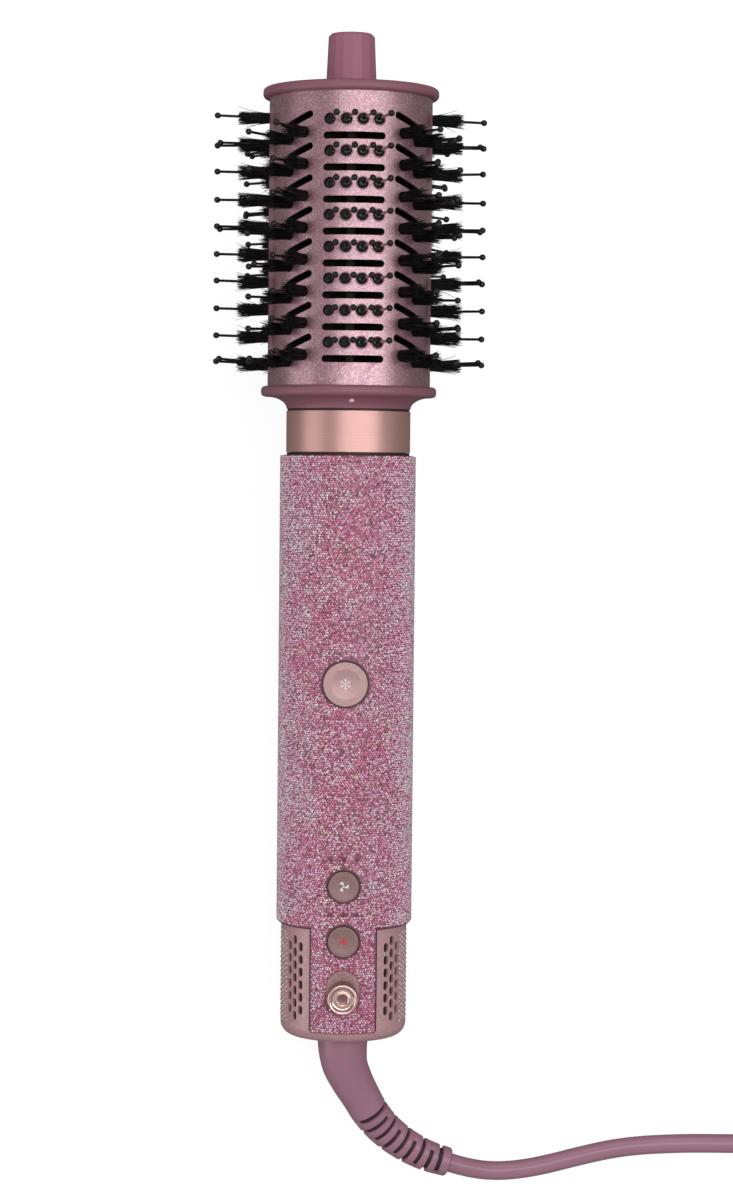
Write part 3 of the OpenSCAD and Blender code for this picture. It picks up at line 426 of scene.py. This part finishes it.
def make_boot():
    """A smooth taper, then a slotted part whose ribs are joined on alternate sides."""
    path = smooth_path(BOOT, 0.13)
    length = [0.0]
    for a, b in zip(path, path[1:]):
        length.append(length[-1] + (b - a).length)
    total = length[-1]
    start, slots, sides = 0.455 * total, 9, 72
    pitch = (total - start - 1.0) / slots
    slot_from, slot_to, slot_deep = 0.04, 0.50, 1.2
    foot_r, waist_r = 7.95, 6.0
    rings, side = [], None
    for i, p in enumerate(path):
        t = (path[min(i + 1, len(path) - 1)] - path[max(i - 1, 0)]).normalized()
        side = t.cross(Vector((0, 0, 1))) if side is None else side - t * side.dot(t)
        side.normalize()
        up = side.cross(t)
        s = length[i]
        if s < start:
            r = foot_r - (foot_r - waist_r) * ease(s / start) ** 0.85
            if s < 1.0:
                r -= 1.2 * (1 - s) ** 2
            ring = [r] * sides
        else:
            outer = waist_r - 0.05 - 1.35 * (s - start) / (total - start)
            step, k = divmod((s - start) / pitch, 1.0)
            ring = []
            for j in range(sides):
                a = 2 * math.pi * j / sides
                bridge = math.cos(a - (math.pi if step % 2 else 0.0)) > 0.83
                dip = 0.0
                if slot_from < k < slot_to and not bridge and s < total - 1.2:
                    across = (k - slot_from) / (slot_to - slot_from)
                    dip = slot_deep * min(1.0, 6 * math.sin(math.pi * across))
                elif not bridge and s < total - 1.2:
                    dip = 0.3 * abs(math.cos(math.pi * (k - 0.26) / 0.84)) ** 8
                if s > total - 0.7:
                    dip += 0.5 * ((s - total + 0.7) / 0.7) ** 2
                ring.append(outer - dip)
        rings.append([p + (side * math.cos(2 * math.pi * j / sides)
                           + up * math.sin(2 * math.pi * j / sides)) * ring[j]
                      for j in range(sides)])
    verts = [v for ring in rings for v in ring]
    faces = ring_faces(len(rings), sides) + end_faces(len(rings), sides)
    obj = mesh_object("strain_relief", verts, faces, M["lead"], "cord_set")
    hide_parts("boot")
    # A dark core of painted shade inside the ribbed part, seen through the slots to darken them.
    core = [(q, s) for q, s in zip(path, length) if start - 1 < s < total - 0.6]
    radii = [4.95 - 1.35 * (s - start) / (total - start) for _, s in core]
    inner = mesh_object("relief_slot_shade", *sweep([q for q, _ in core], radii, 32), M["gap_shade"],
                        "cord_set")


lead = make_cord()
make_boot()


def superellipse_ring(w, h, y, n, sides):
    """A squarish ring round the plug's axis; n = 2 is an ellipse."""
    ring = []
    for k in range(sides):
        a = 2 * math.pi * k / sides
        c, s = math.cos(a), math.sin(a)
        ring.append((PLUG_X + w * math.copysign(abs(c) ** (2 / n), c), y,
                     HIGH_Z + h * math.copysign(abs(s) ** (2 / n), s)))
    return ring


def make_plug():
    """A moulded body with a ribbed relief, waisted grip and rounded face."""
    rings = []
    for i in range(9):
        y = -112 + 2.7 * i
        base = 4.0 + 0.25 * i
        for r, dy in [(base, 0), (base, 1.5), (base - 0.7, 1.6), (base - 0.7, 2.6)]:
            rings.append((r, r, y + dy, 2))
    for t in range(9):
        k = ease(t / 8)
        rings.append((6.2 + 10.9 * k, 6.2 + 2.4 * k, -87 + 9 * t / 8, 2 + 0.6 * k))
    for y, w, h in [(-76, 17.5, 8.7), (-70, 17.1, 8.4), (-63, 16.8, 8.2), (-56, 17.2, 8.5),
                    (-51, 17.6, 8.8), (-48, 17.7, 9), (-46.8, 17.4, 8.7), (-46.1, 16.6, 7.9)]:
        rings.append((w, h, y, 2.8))
    verts, sides = [], 64
    for w, h, y, n in rings:
        verts += superellipse_ring(w, h, y, n, sides)
    faces = [(a, d, c, b) for a, b, c, d in ring_faces(len(rings), sides)]
    faces += [tuple(reversed(face)) for face in end_faces(len(rings), sides)]
    obj = mesh_object("plug", verts, faces, M["lead"], "cord_set")
    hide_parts("plug_body")
    return obj


plug = make_plug()


# ---------------------------------------------------------------- stones
STONE_R, STONES_ROUND, STONE_PITCH = 0.395, 165, 0.693
BOTTOM_GAP, TOP_GAP = 0.55, 0.4


def stone_material():
    """Glassy stones that take their colour from each face's tint."""
    mat, tree, bsdf = nodes_of("stones")
    pick = add(tree, "ShaderNodeAttribute", attribute_name="tint")
    coords = tree.nodes.new("ShaderNodeTexCoord")
    cloud = add(tree, "ShaderNodeTexNoise", Scale=1400.0, Detail=2.0)
    tree.links.new(coords.outputs["Object"], cloud.inputs["Vector"])
    glow = ramp(tree, cloud.outputs["Fac"], [(0.3, (0.86,) * 3), (0.7, (1.0,) * 3)])
    mix = add(tree, "ShaderNodeMix", data_type="RGBA", blend_type="MULTIPLY")
    mix.inputs["Factor"].default_value = 1.0
    tree.links.new(pick.outputs["Color"], mix.inputs[6])
    tree.links.new(glow, mix.inputs[7])
    tree.links.new(mix.outputs[2], bsdf.inputs["Base Color"])
    spread = add(tree, "ShaderNodeMapRange")
    spread.inputs["To Min"].default_value = 0.06
    spread.inputs["To Max"].default_value = 0.24
    tree.links.new(cloud.outputs["Fac"], spread.inputs["Value"])
    tree.links.new(spread.outputs["Result"], bsdf.inputs["Roughness"])
    bsdf.inputs["Metallic"].default_value = 0.2
    bsdf.inputs["Coat Weight"].default_value = 0.7
    bsdf.inputs["Coat Roughness"].default_value = 0.05
    return mat


def stone_tints(rng, a, u):
    """Stones drift between magenta and lavender, with pale, dark and golden ones among them and
    near-white ones as painted sparkle; towards the sides they are painted up to 1.8 times as
    bright, a painted light.
    """
    drift = np.zeros(len(a))
    for ka, ku, amp, phase in [(3, 0.09, 0.5, 0.7), (5, 0.23, 0.4, 2.1), (2, 0.37, 0.3, 4.0),
                               (9, 0.31, 0.3, 1.3), (7, 0.55, 0.25, 5.2)]:
        drift += amp * np.sin(ka * a + phase) * np.cos(ku * u + 2.3 * phase)
    side = 1 - np.abs(np.cos(a))
    blend = np.clip(0.36 + 0.55 * drift + 0.5 * side + rng.normal(0, 0.12, len(a)), 0, 1)[:, None]
    rose, mauve = np.array([0.83, 0.225, 0.370]), np.array([0.80, 0.385, 0.515])
    # Painted light: towards the sides the tint is made up to 1.8 times as bright, to make up for
    # the lamps lighting the sides less.
    tint = (rose * (1 - blend) + mauve * blend) * (1 + 0.8 * side[:, None])
    tint = tint * np.exp(rng.normal(-0.06, 0.48, len(a)))[:, None]
    pale = rng.random(len(a))[:, None]
    tint = np.where(pale < 0.17, tint * 0.45 + np.array([0.51, 0.36, 0.40]), tint)
    # About one stone in eighteen is painted near white, a painted sparkle.
    tint = np.where(pale < 0.055, np.array([0.96, 0.84, 0.87]), tint)
    tint = np.where(pale > 0.985, np.array([0.92, 0.68, 0.50]), tint)
    return np.clip(tint, 0.01, 0.97)


def keep_stone(x, u, front):
    """Stones stay off the cage, the buttons, the lenses and the power slot."""
    ok = (u > SLEEVE_LOW + BOTTOM_GAP) | (front & (np.abs(x) < 9.75) & (u > 3.85))
    for cu, r in [(COOL_U, 7.62), (FAN_U, 5.52), (HEAT_U, 5.52)]:
        ok &= ~(front & (np.hypot(x, u - cu) < r))
    for cu in LED_ROWS:
        for cx in (-LED_PITCH, 0, LED_PITCH):
            ok &= ~(front & (np.hypot(x - cx, u - cu) < 0.98))
    du = u - np.clip(u, KNOB_U, KNOB_U + KNOB_TRAVEL)
    ok &= ~(front & (np.hypot(x, du) < 5.52))
    return ok


def sleeve_spots(low, high):
    """Staggered rows of stones between two heights."""
    us, angles = [], []
    for j in range(int(SLEEVE_HIGH / STONE_PITCH)):
        u = TONGUE_LOW + STONE_PITCH * j
        if low <= u < min(high, SLEEVE_HIGH - TOP_GAP):
            angles.append((np.arange(STONES_ROUND) + 0.5 * (j % 2)) * 2 * math.pi / STONES_ROUND)
            us.append(np.full(STONES_ROUND, u))
    a, u = np.concatenate(angles), np.concatenate(us)
    ok = keep_stone(SLEEVE_R * np.sin(a), u, np.cos(a) > 0)
    return a[ok], u[ok]


def edge_spots():
    """Short bands of stones down the cage's sides."""
    spots = [(side * math.radians(64 + 4.4 * c), 5.4 + 1.5 * j + 0.75 * (c % 2))
             for side in (-1, 1) for c in range(6) for j in range(19)]
    return np.array([p[0] for p in spots]), np.array([p[1] for p in spots])


def make_stones(name, spots, seat, seed, mat, radius=STONE_R, cream=False):
    """Six-sided stones with a flat table, each a little leant and turned."""
    rng = np.random.default_rng(seed)
    a, u = spots
    n = len(a)
    a = a + rng.normal(0, 0.0042, n)
    u = u + rng.normal(0, 0.095, n)
    out = np.stack([np.sin(a), -np.cos(a), np.zeros(n)], 1)
    tang = np.stack([np.cos(a), np.sin(a), np.zeros(n)], 1)
    axial = np.tile([0.0, 0.0, 1.0], (n, 1))
    lean_a, lean_u = rng.normal(0, 0.13, n), rng.normal(0, 0.13, n)
    up = out + tang * lean_a[:, None] + axial * lean_u[:, None]
    up /= np.linalg.norm(up, axis=1)[:, None]
    sx = tang - up * np.sum(tang * up, 1)[:, None]
    sx /= np.linalg.norm(sx, axis=1)[:, None]
    sy = np.cross(up, sx)
    base = out * (seat - 0.03)
    tall = 0.68 * radius
    base[:, 2] = u
    size = radius * rng.uniform(0.94, 1.04, n)
    spin = rng.uniform(0, math.pi / 3, n)
    verts = np.zeros((n, 12, 3))
    for k in range(6):
        c, s = np.cos(spin + k * math.pi / 3), np.sin(spin + k * math.pi / 3)
        ray = sx * c[:, None] + sy * s[:, None]
        verts[:, k] = base + ray * size[:, None]
        verts[:, 6 + k] = base + ray * (size * 0.56)[:, None] + up * tall
    m = np.array(LAY)
    pts = verts.reshape(-1, 3) @ m[:3, :3].T + m[:3, 3]
    pattern = [6, 7, 8, 9, 10, 11]
    for k in range(6):
        q = (k + 1) % 6
        pattern += [k, q, 6 + q, 6 + k]
    loops = (np.arange(n)[:, None] * 12 + np.array(pattern)).ravel()
    sizes = np.tile([6] + [4] * 6, n)
    starts = np.concatenate([[0], np.cumsum(sizes)[:-1]])
    me = bpy.data.meshes.new(name)
    me.vertices.add(len(pts))
    me.vertices.foreach_set("co", pts.ravel())
    me.loops.add(len(loops))
    me.loops.foreach_set("vertex_index", loops.astype(np.int32))
    me.polygons.add(len(sizes))
    me.polygons.foreach_set("loop_start", starts.astype(np.int32))
    me.update(calc_edges=True)
    me.validate()
    tint = np.repeat(stone_tints(rng, a, u), 7, axis=0)
    if cream:
        tint = tint * 0.3 + np.array([0.70, 0.58, 0.50])
    # Each facet is painted a random amount lighter or darker than its stone, a painted sparkle of
    # light on the facets.
    tint = np.clip(tint * np.exp(rng.normal(0, 0.36, 7 * n))[:, None], 0, 1)
    layer = me.attributes.new("tint", "FLOAT_COLOR", "FACE")
    layer.data.foreach_set("color", np.hstack([tint, np.ones((7 * n, 1))]).ravel())
    me.materials.append(mat)
    obj = bpy.data.objects.new(name, me)
    bpy.context.scene.collection.objects.link(obj)
    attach(obj, "handle")


stones = stone_material()
for name, low, high, seed in [("stones_low", 0, 70, 11), ("stones_middle", 70, 126, 12),
                              ("stones_high", 126, 182, 13)]:
    make_stones(name, sleeve_spots(low, high), SLEEVE_R, seed, stones)
make_stones("stones_cage", edge_spots(), CAGE_R, 14, stones, radius=0.35, cream=True)


# ---------------------------------------------------------------- bristles
PIN_END, PIN_R, BALL_R = 41.5, 0.45, 1.0
HAIR_FROM, HAIR_END, HAIRS = 23.4, BARREL_R + 9.8, 165


def pin(verts, faces, root, end, r, ball):
    """A stem and its ball tip."""
    root, end = Vector(root), Vector(end)
    t = (end - root).normalized()
    side = t.orthogonal().normalized()
    up = t.cross(side)
    rings = [(root, r), (root.lerp(end, 0.5), r * 0.96), (end - t * ball * 0.93, r * 0.9)]
    for k in range(1, 8):
        a = math.pi * (0.1 + 0.9 * k / 7.0)
        rings.append((end - t * ball * math.cos(a), max(ball * math.sin(a), 0.01)))
    sides = 10
    faces += ring_faces(len(rings), sides, len(verts))
    for c, rad in rings:
        for k in range(sides):
            b = 2 * math.pi * k / sides
            verts.append(c + (side * math.cos(b) + up * math.sin(b)) * rad)


def tuft(verts, faces, rng, place):
    """A bunch of fine hairs that flares out, with a few strays."""
    root_r, steps = 1.6, 4
    for _ in range(HAIRS):
        a, q = rng.uniform(0, 2 * math.pi), math.sqrt(rng.random())
        x0, y0 = root_r * q * math.cos(a), root_r * q * math.sin(a)
        flare = rng.uniform(1.1, 1.6)
        stray = rng.random() < 0.09
        bend = rng.gauss(0, 1.1 if stray else 0.25)
        bend_y = rng.gauss(0, 1.1 if stray else 0.25)
        height = HAIR_END - abs(rng.gauss(0, 1.3)) + (0.6 if stray else 0)
        thick = rng.uniform(0.11, 0.15)
        faces += ring_faces(steps + 1, 3, len(verts))
        for i in range(steps + 1):
            t = i / steps
            w = 1 + (flare - 1) * t ** 1.6
            x, y = x0 * w + bend * t * t, y0 * w + bend_y * t * t
            r = thick * (1 - 0.55 * t ** 2)
            for k in range(3):
                b = 2 * math.pi * k / 3 + a
                verts.append(place @ Vector((x + r * math.cos(b), y + r * math.sin(b),
                                             HAIR_FROM + (height - HAIR_FROM) * t)))
        faces.append(tuple(range(len(verts) - 3, len(verts))))


def make_tufts(node, spots, seed):
    """Tufts with one or two ball-tipped pins in each."""
    rng = random.Random(seed)
    verts, faces, pin_verts, pin_faces = [], [], [], []
    for u, angle in spots:
        place = facing(u, angle)
        tuft(verts, faces, rng, place)
        lean_x, lean_y = rng.gauss(0, 0.5), rng.gauss(0, 0.5)
        pin(pin_verts, pin_faces, place @ Vector((0, 0, 24)),
            place @ Vector((lean_x, lean_y, PIN_END)), PIN_R, BALL_R)
        if rng.random() < 0.45:
            off = rng.choice((-1, 1)) * rng.uniform(0.9, 1.5)
            pin(pin_verts, pin_faces, place @ Vector((0.5 * off, 0.3 * off, 24)),
                place @ Vector((lean_x + off, lean_y + 0.6 * off, 40.6)), 0.42, 0.95)
    hair = mesh_object(node + "_hair", verts, faces, M["hair"], "head", HEAD)
    stems = mesh_object(node + "_pins", pin_verts, pin_faces, M["nylon"], "head", HEAD)
    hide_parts(node)


for name, group, side, seed in [("front_left_tufts", 0, -1, 21), ("front_right_tufts", 0, 1, 22),
                                ("back_left_tufts", 180, 1, 23),
                                ("back_right_tufts", 180, -1, 24)]:
    make_tufts(name, [(u + t[1], group + side * t[0]) for u in ROW_U for t in (NEAR, FAR)], seed)
for name, angle, seed in [("left_side_tufts", -90, 25), ("right_side_tufts", 90, 26)]:
    make_tufts(name, [(SIDE_U0 + SIDE_PITCH * k, angle) for k in range(SIDE_TUFTS)], seed)


def make_hole_trims():
    """A rolled rim round each pin hole, and the glossy cushion that its pin stands in."""
    rims, rim_faces, domes, dome_faces = [], [], [], []
    roll = 0.17
    turns = [2 * math.pi * k / 8 for k in range(9)]
    ring, rolled = lathe([(HOLE_R + roll + roll * math.cos(t), BARREL_R + roll * math.sin(t))
                          for t in turns], 28)
    dome, cup = lathe([(1.5, 24.75), (1.46, 24.95), (1.28, 25.12), (0.95, 25.26), (0.55, 25.34),
                       (0.0001, 25.37)], 24)
    for group in (0, 180):
        for u in ROW_U:
            for i in (-1.5, -0.5, 0.5, 1.5):
                place = facing(u, group + HOLE_STEP * i)
                for source, found, to, into in [(ring, rolled[:-2], rims, rim_faces),
                                                (dome, cup, domes, dome_faces)]:
                    first = len(to)
                    to += [place @ Vector(v) for v in source]
                    into += [tuple(first + k for k in f) for f in found]
    obj = mesh_object("hole_rims", rims, rim_faces, M["strip"], "head", HEAD)
    obj = mesh_object("pin_cushions", domes, dome_faces, M["nylon"], "head", HEAD)


make_hole_trims()


def make_gap_shade_lines():
    """A strip of painted shadow in the gap that frames the tongue and runs under the sleeve's
    lower edge.
    """
    seat, wide, half = CAGE_R + 0.03, 0.34, TONGUE_HALF + 0.02
    edge = math.asin(half / seat)
    strip = math.asin((half + wide) / seat)
    verts, faces = [], []

    def band(corners):
        first = len(verts)
        for a, u in corners:
            verts.append((seat * math.sin(a), -seat * math.cos(a), u))
        for k in range(0, len(corners) - 2, 2):
            faces.append((first + k, first + k + 1, first + k + 3, first + k + 2))

    for side in (-1, 1):
        rows = [(side * a, u) for u in np.linspace(TONGUE_LOW - wide, SLEEVE_LOW, 30)
                for a in (edge, strip)]
        band(rows if side > 0 else [rows[k ^ 1] for k in range(len(rows))])
        turn = [(side * a, u) for a in np.linspace(edge, math.pi, 60)
                for u in (SLEEVE_LOW, SLEEVE_LOW - wide)]
        band(turn if side > 0 else [turn[k ^ 1] for k in range(len(turn))])
    band([(a, u) for a in np.linspace(-edge, edge, 24) for u in (TONGUE_LOW, TONGUE_LOW - wide)])
    obj = mesh_object("gap_shade_lines", verts, faces, M["gap_shade"], "handle", LAY)


make_gap_shade_lines()


def make_cage_slot_shade():
    """A dark sheet of painted shade set inside the cage's wall, seen through its slots to darken
    them.
    """
    seat, span, steps = CAGE_R - 0.75, 30, 18
    verts, faces = [], []
    for centre in (49.8, 130.2, 229.8, 310.2):
        first = len(verts)
        for k in range(steps + 1):
            a = math.radians(centre - span / 2 + span * k / steps)
            for u in (3.4, 32.2):
                verts.append((seat * math.sin(a), -seat * math.cos(a), u))
        for k in range(steps):
            i = first + 2 * k
            faces.append((i, i + 1, i + 3, i + 2))
    obj = mesh_object("cage_slot_shade", verts, faces, M["mesh"], "handle", LAY)


make_cage_slot_shade()


# ---------------------------------------------------------------- knob
def make_knob():
    """A round cap that leans towards the tail, with a pale rim and a hollow face; its side wall,
    the rim's inner slope and the middle of the hollow are painted in a darker copy of the knob's
    metal, a painted shade.
    """
    place = LAY @ facing(KNOB_U, 0)
    profile = [(4.72, 20.46, 0.0), (4.80, 20.7, 0.0), (4.80, 21.3, 0.0), (4.74, 24.0, 0.10),
               (4.70, 25.05, 0.16), (4.58, 25.36, 0.18), (4.34, 25.50, 0.19), (4.02, 25.44, 0.20),
               (3.70, 25.22, 0.20), (3.50, 24.86, 0.20), (3.34, 24.68, 0.20), (3.0, 24.60, 0.20),
               (2.5, 24.56, 0.20), (2.25, 24.66, 0.20), (2.12, 24.86, 0.20), (1.96, 24.92, 0.20),
               (1.80, 24.84, 0.20), (1.64, 24.60, 0.20), (1.2, 24.50, 0.20), (0.5, 24.46, 0.20),
               (0.0001, 24.45, 0.20)]
    sides = 64
    verts, faces = lathe([(r, z) for r, z, _ in profile], sides)
    verts = [(x, y - profile[i // sides][2], z) for i, (x, y, z) in enumerate(verts)]
    obj = mesh_object("knob", verts, faces, M["knob"], "power", place)
    obj.data.materials.append(M["knob_shade"])
    # Painted shade: the side wall, the rim's inner slope and the middle of the hollow take the
    # darker copy of the metal.
    for i, face in enumerate(obj.data.polygons):
        ring = i // sides
        face.material_index = 1 if ring < 4 or 7 < ring < 10 or 17 <= ring else 0
    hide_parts("power_knob")
    stem = lathe([(1.18, 17.3), (1.2, 18.0), (1.2, 20.8)], 24)
    obj = mesh_object("knob_stem", *stem, M["dark"], "power", place)


def oblong_ring(half, r, z, steps):
    """Points round an oblong that is long along y."""
    ring = []
    for k in range(steps):
        a = 2 * math.pi * k / steps
        ring.append((r * math.cos(a), r * math.sin(a) + math.copysign(half, math.sin(a)), z))
    return ring


def make_slide_plate():
    """The low oblong plate that the knob slides on, open where its stem runs."""
    verts, sides = [], 24
    for half, r, z in [(1.5, 5.18, 20.30), (1.5, 5.18, 20.34), (1.5, 5.05, 20.37),
                       (1.6, 1.45, 20.37), (1.6, 1.40, 20.30)]:
        verts += oblong_ring(half, r, z, sides)
    obj = mesh_object("slide_plate", verts, ring_faces(5, sides), M["plate"], "handle",
                      LAY @ facing(SLOT_MIDDLE, 0))


make_knob()
make_slide_plate()


# ---------------------------------------------------------------- button marks
def dish(d, r):
    """Just above the hollow face of a button of diameter d, at distance r from its centre."""
    rim, hollow, lift, ball_r = SLEEVE_R + 0.5, 0.2, 0.015, 4 * d
    return rim + ball_r - hollow - math.sqrt(ball_r * ball_r - r * r) + lift


def flat_mark(name, d, u, polys, mat, body):
    """Flat shapes printed on a button's face."""
    verts, faces = [], []
    for poly in polys:
        first = len(verts)
        verts += [(x, y, dish(d, math.hypot(x, y))) for x, y in poly]
        faces.append(tuple(range(first, first + len(poly))))
    obj = mesh_object(name, verts, faces, mat, body, LAY @ facing(u, 0), smooth=False)


def bar(a, r0, r1, w, x=0.0, y=0.0):
    """A straight bar of half width w that runs out from (x, y) at angle a."""
    c, s = math.cos(a), math.sin(a)
    return [(x + r0 * c - w * s, y + r0 * s + w * c), (x + r0 * c + w * s, y + r0 * s - w * c),
            (x + r1 * c + w * s, y + r1 * s - w * c), (x + r1 * c - w * s, y + r1 * s + w * c)]


def polar(points):
    return [(r * math.cos(a), r * math.sin(a)) for a, r in points]


def fan_mark():
    """Three curved blades round a hub."""
    hub, root, reach, steps = 0.32, 0.38, 1.27, 13
    rise = [i / steps for i in range(steps + 1)]
    fall = [1 - t for t in rise]
    polys = []
    for k in range(3):
        a = math.radians(90 + 120 * k)
        front = [(a - 0.10 + 0.35 * t, root + reach * t ** 0.8) for t in rise]
        back = [(a + 0.15 + 0.85 * math.sin(math.pi * 0.5 * t), root + reach * t ** 1.2)
                for t in fall]
        polys.append(polar(front + back))
    polys.append(polar([(math.radians(24 * i), hub) for i in range(15)]))
    return polys


def heat_mark():
    """A plain six-armed star."""
    return [bar(math.radians(30 + 60 * k), 0, 1.55, 0.15) for k in range(6)]


def snow_mark():
    """Six arms with two short branches each."""
    polys = []
    for k in range(6):
        a = math.radians(30 + 60 * k)
        polys.append(bar(a, 0.2, 1.85, 0.11))
        for turn in (-0.9, 0.9):
            polys.append(bar(a + turn, 0, 0.62, 0.09, 1.05 * math.cos(a), 1.05 * math.sin(a)))
    return polys


flat_mark("fan_mark", BUTTON_D, FAN_U, fan_mark(), M["mark"], "fan_speed")
flat_mark("snow_mark", COOL_D, COOL_U, snow_mark(), M["mark"], "cool_shot")
flat_mark("heat_mark", BUTTON_D, HEAT_U, heat_mark(), M["red"], "heat_level")


# ---------------------------------------------------------------- floor and light
FLOOR_HALF, FLOOR_LIFT = 4, 0.88


def make_floor():
    """A pale plain floor; the camera alone sees it lifted, so that it doesn't light the brush."""
    mat, tree, bsdf = nodes_of("floor")
    coords = tree.nodes.new("ShaderNodeTexCoord")
    cloud = add(tree, "ShaderNodeTexNoise", Scale=6.0, Detail=2.0)
    tree.links.new(coords.outputs["Object"], cloud.inputs["Vector"])
    colour = ramp(tree, cloud.outputs["Fac"], [(0.3, (0.21,) * 3), (0.7, (0.23,) * 3)])
    tree.links.new(colour, bsdf.inputs["Base Color"])
    bsdf.inputs["Roughness"].default_value = 0.9
    bsdf.inputs["Specular IOR Level"].default_value = 0.1
    path = tree.nodes.new("ShaderNodeLightPath")
    glow = tree.nodes.new("ShaderNodeEmission")
    glow.inputs["Color"].default_value = (1, 1, 1, 1)
    lift = add(tree, "ShaderNodeMath", operation="MULTIPLY")
    lift.inputs[1].default_value = FLOOR_LIFT
    tree.links.new(path.outputs["Is Camera Ray"], lift.inputs[0])
    tree.links.new(lift.outputs[0], glow.inputs["Strength"])
    both = tree.nodes.new("ShaderNodeAddShader")
    out = tree.nodes["Material Output"]
    tree.links.new(bsdf.outputs[0], both.inputs[0])
    tree.links.new(glow.outputs[0], both.inputs[1])
    tree.links.new(both.outputs[0], out.inputs["Surface"])
    me = bpy.data.meshes.new("floor")
    h = FLOOR_HALF
    me.from_pydata([(-h, -h, 0), (h, -h, 0), (h, h, 0), (-h, h, 0)], [], [(0, 1, 2, 3)])
    me.materials.append(mat)
    obj = bpy.data.objects.new("floor", me)
    bpy.context.scene.collection.objects.link(obj)


def area_light(name, place, target, size, power):
    """A soft panel that the camera doesn't see."""
    light = bpy.data.lights.new(name, "AREA")
    light.shape = "RECTANGLE"
    light.size, light.size_y = size
    light.energy = power
    obj = bpy.data.objects.new(name, light)
    obj.location = place
    obj.visible_camera = False
    obj.rotation_euler = (Vector(target) - Vector(place)).to_track_quat("-Z", "Y").to_euler()
    bpy.context.scene.collection.objects.link(obj)


make_floor()
area_light("key", (0.42, 0.0, 1.15), (0, 0, 0.02), (0.38, 1.8), 6.6)
area_light("left", (-1.05, -0.3, 0.42), (0, -0.3, 0.04), (0.8, 0.8), 2.3)
area_light("head", (0.0, 1.0, 0.8), (0, 0, 0.02), (1.0, 0.4), 1.6)
world = bpy.data.worlds.new("studio")
world.use_nodes = True
sky = world.node_tree.nodes["Background"]
sky.inputs["Color"].default_value = (1, 0.985, 0.98, 1)
sky.inputs["Strength"].default_value = 0.46
bpy.context.scene.world = world
bpy.context.scene.view_settings.view_transform = "Standard"
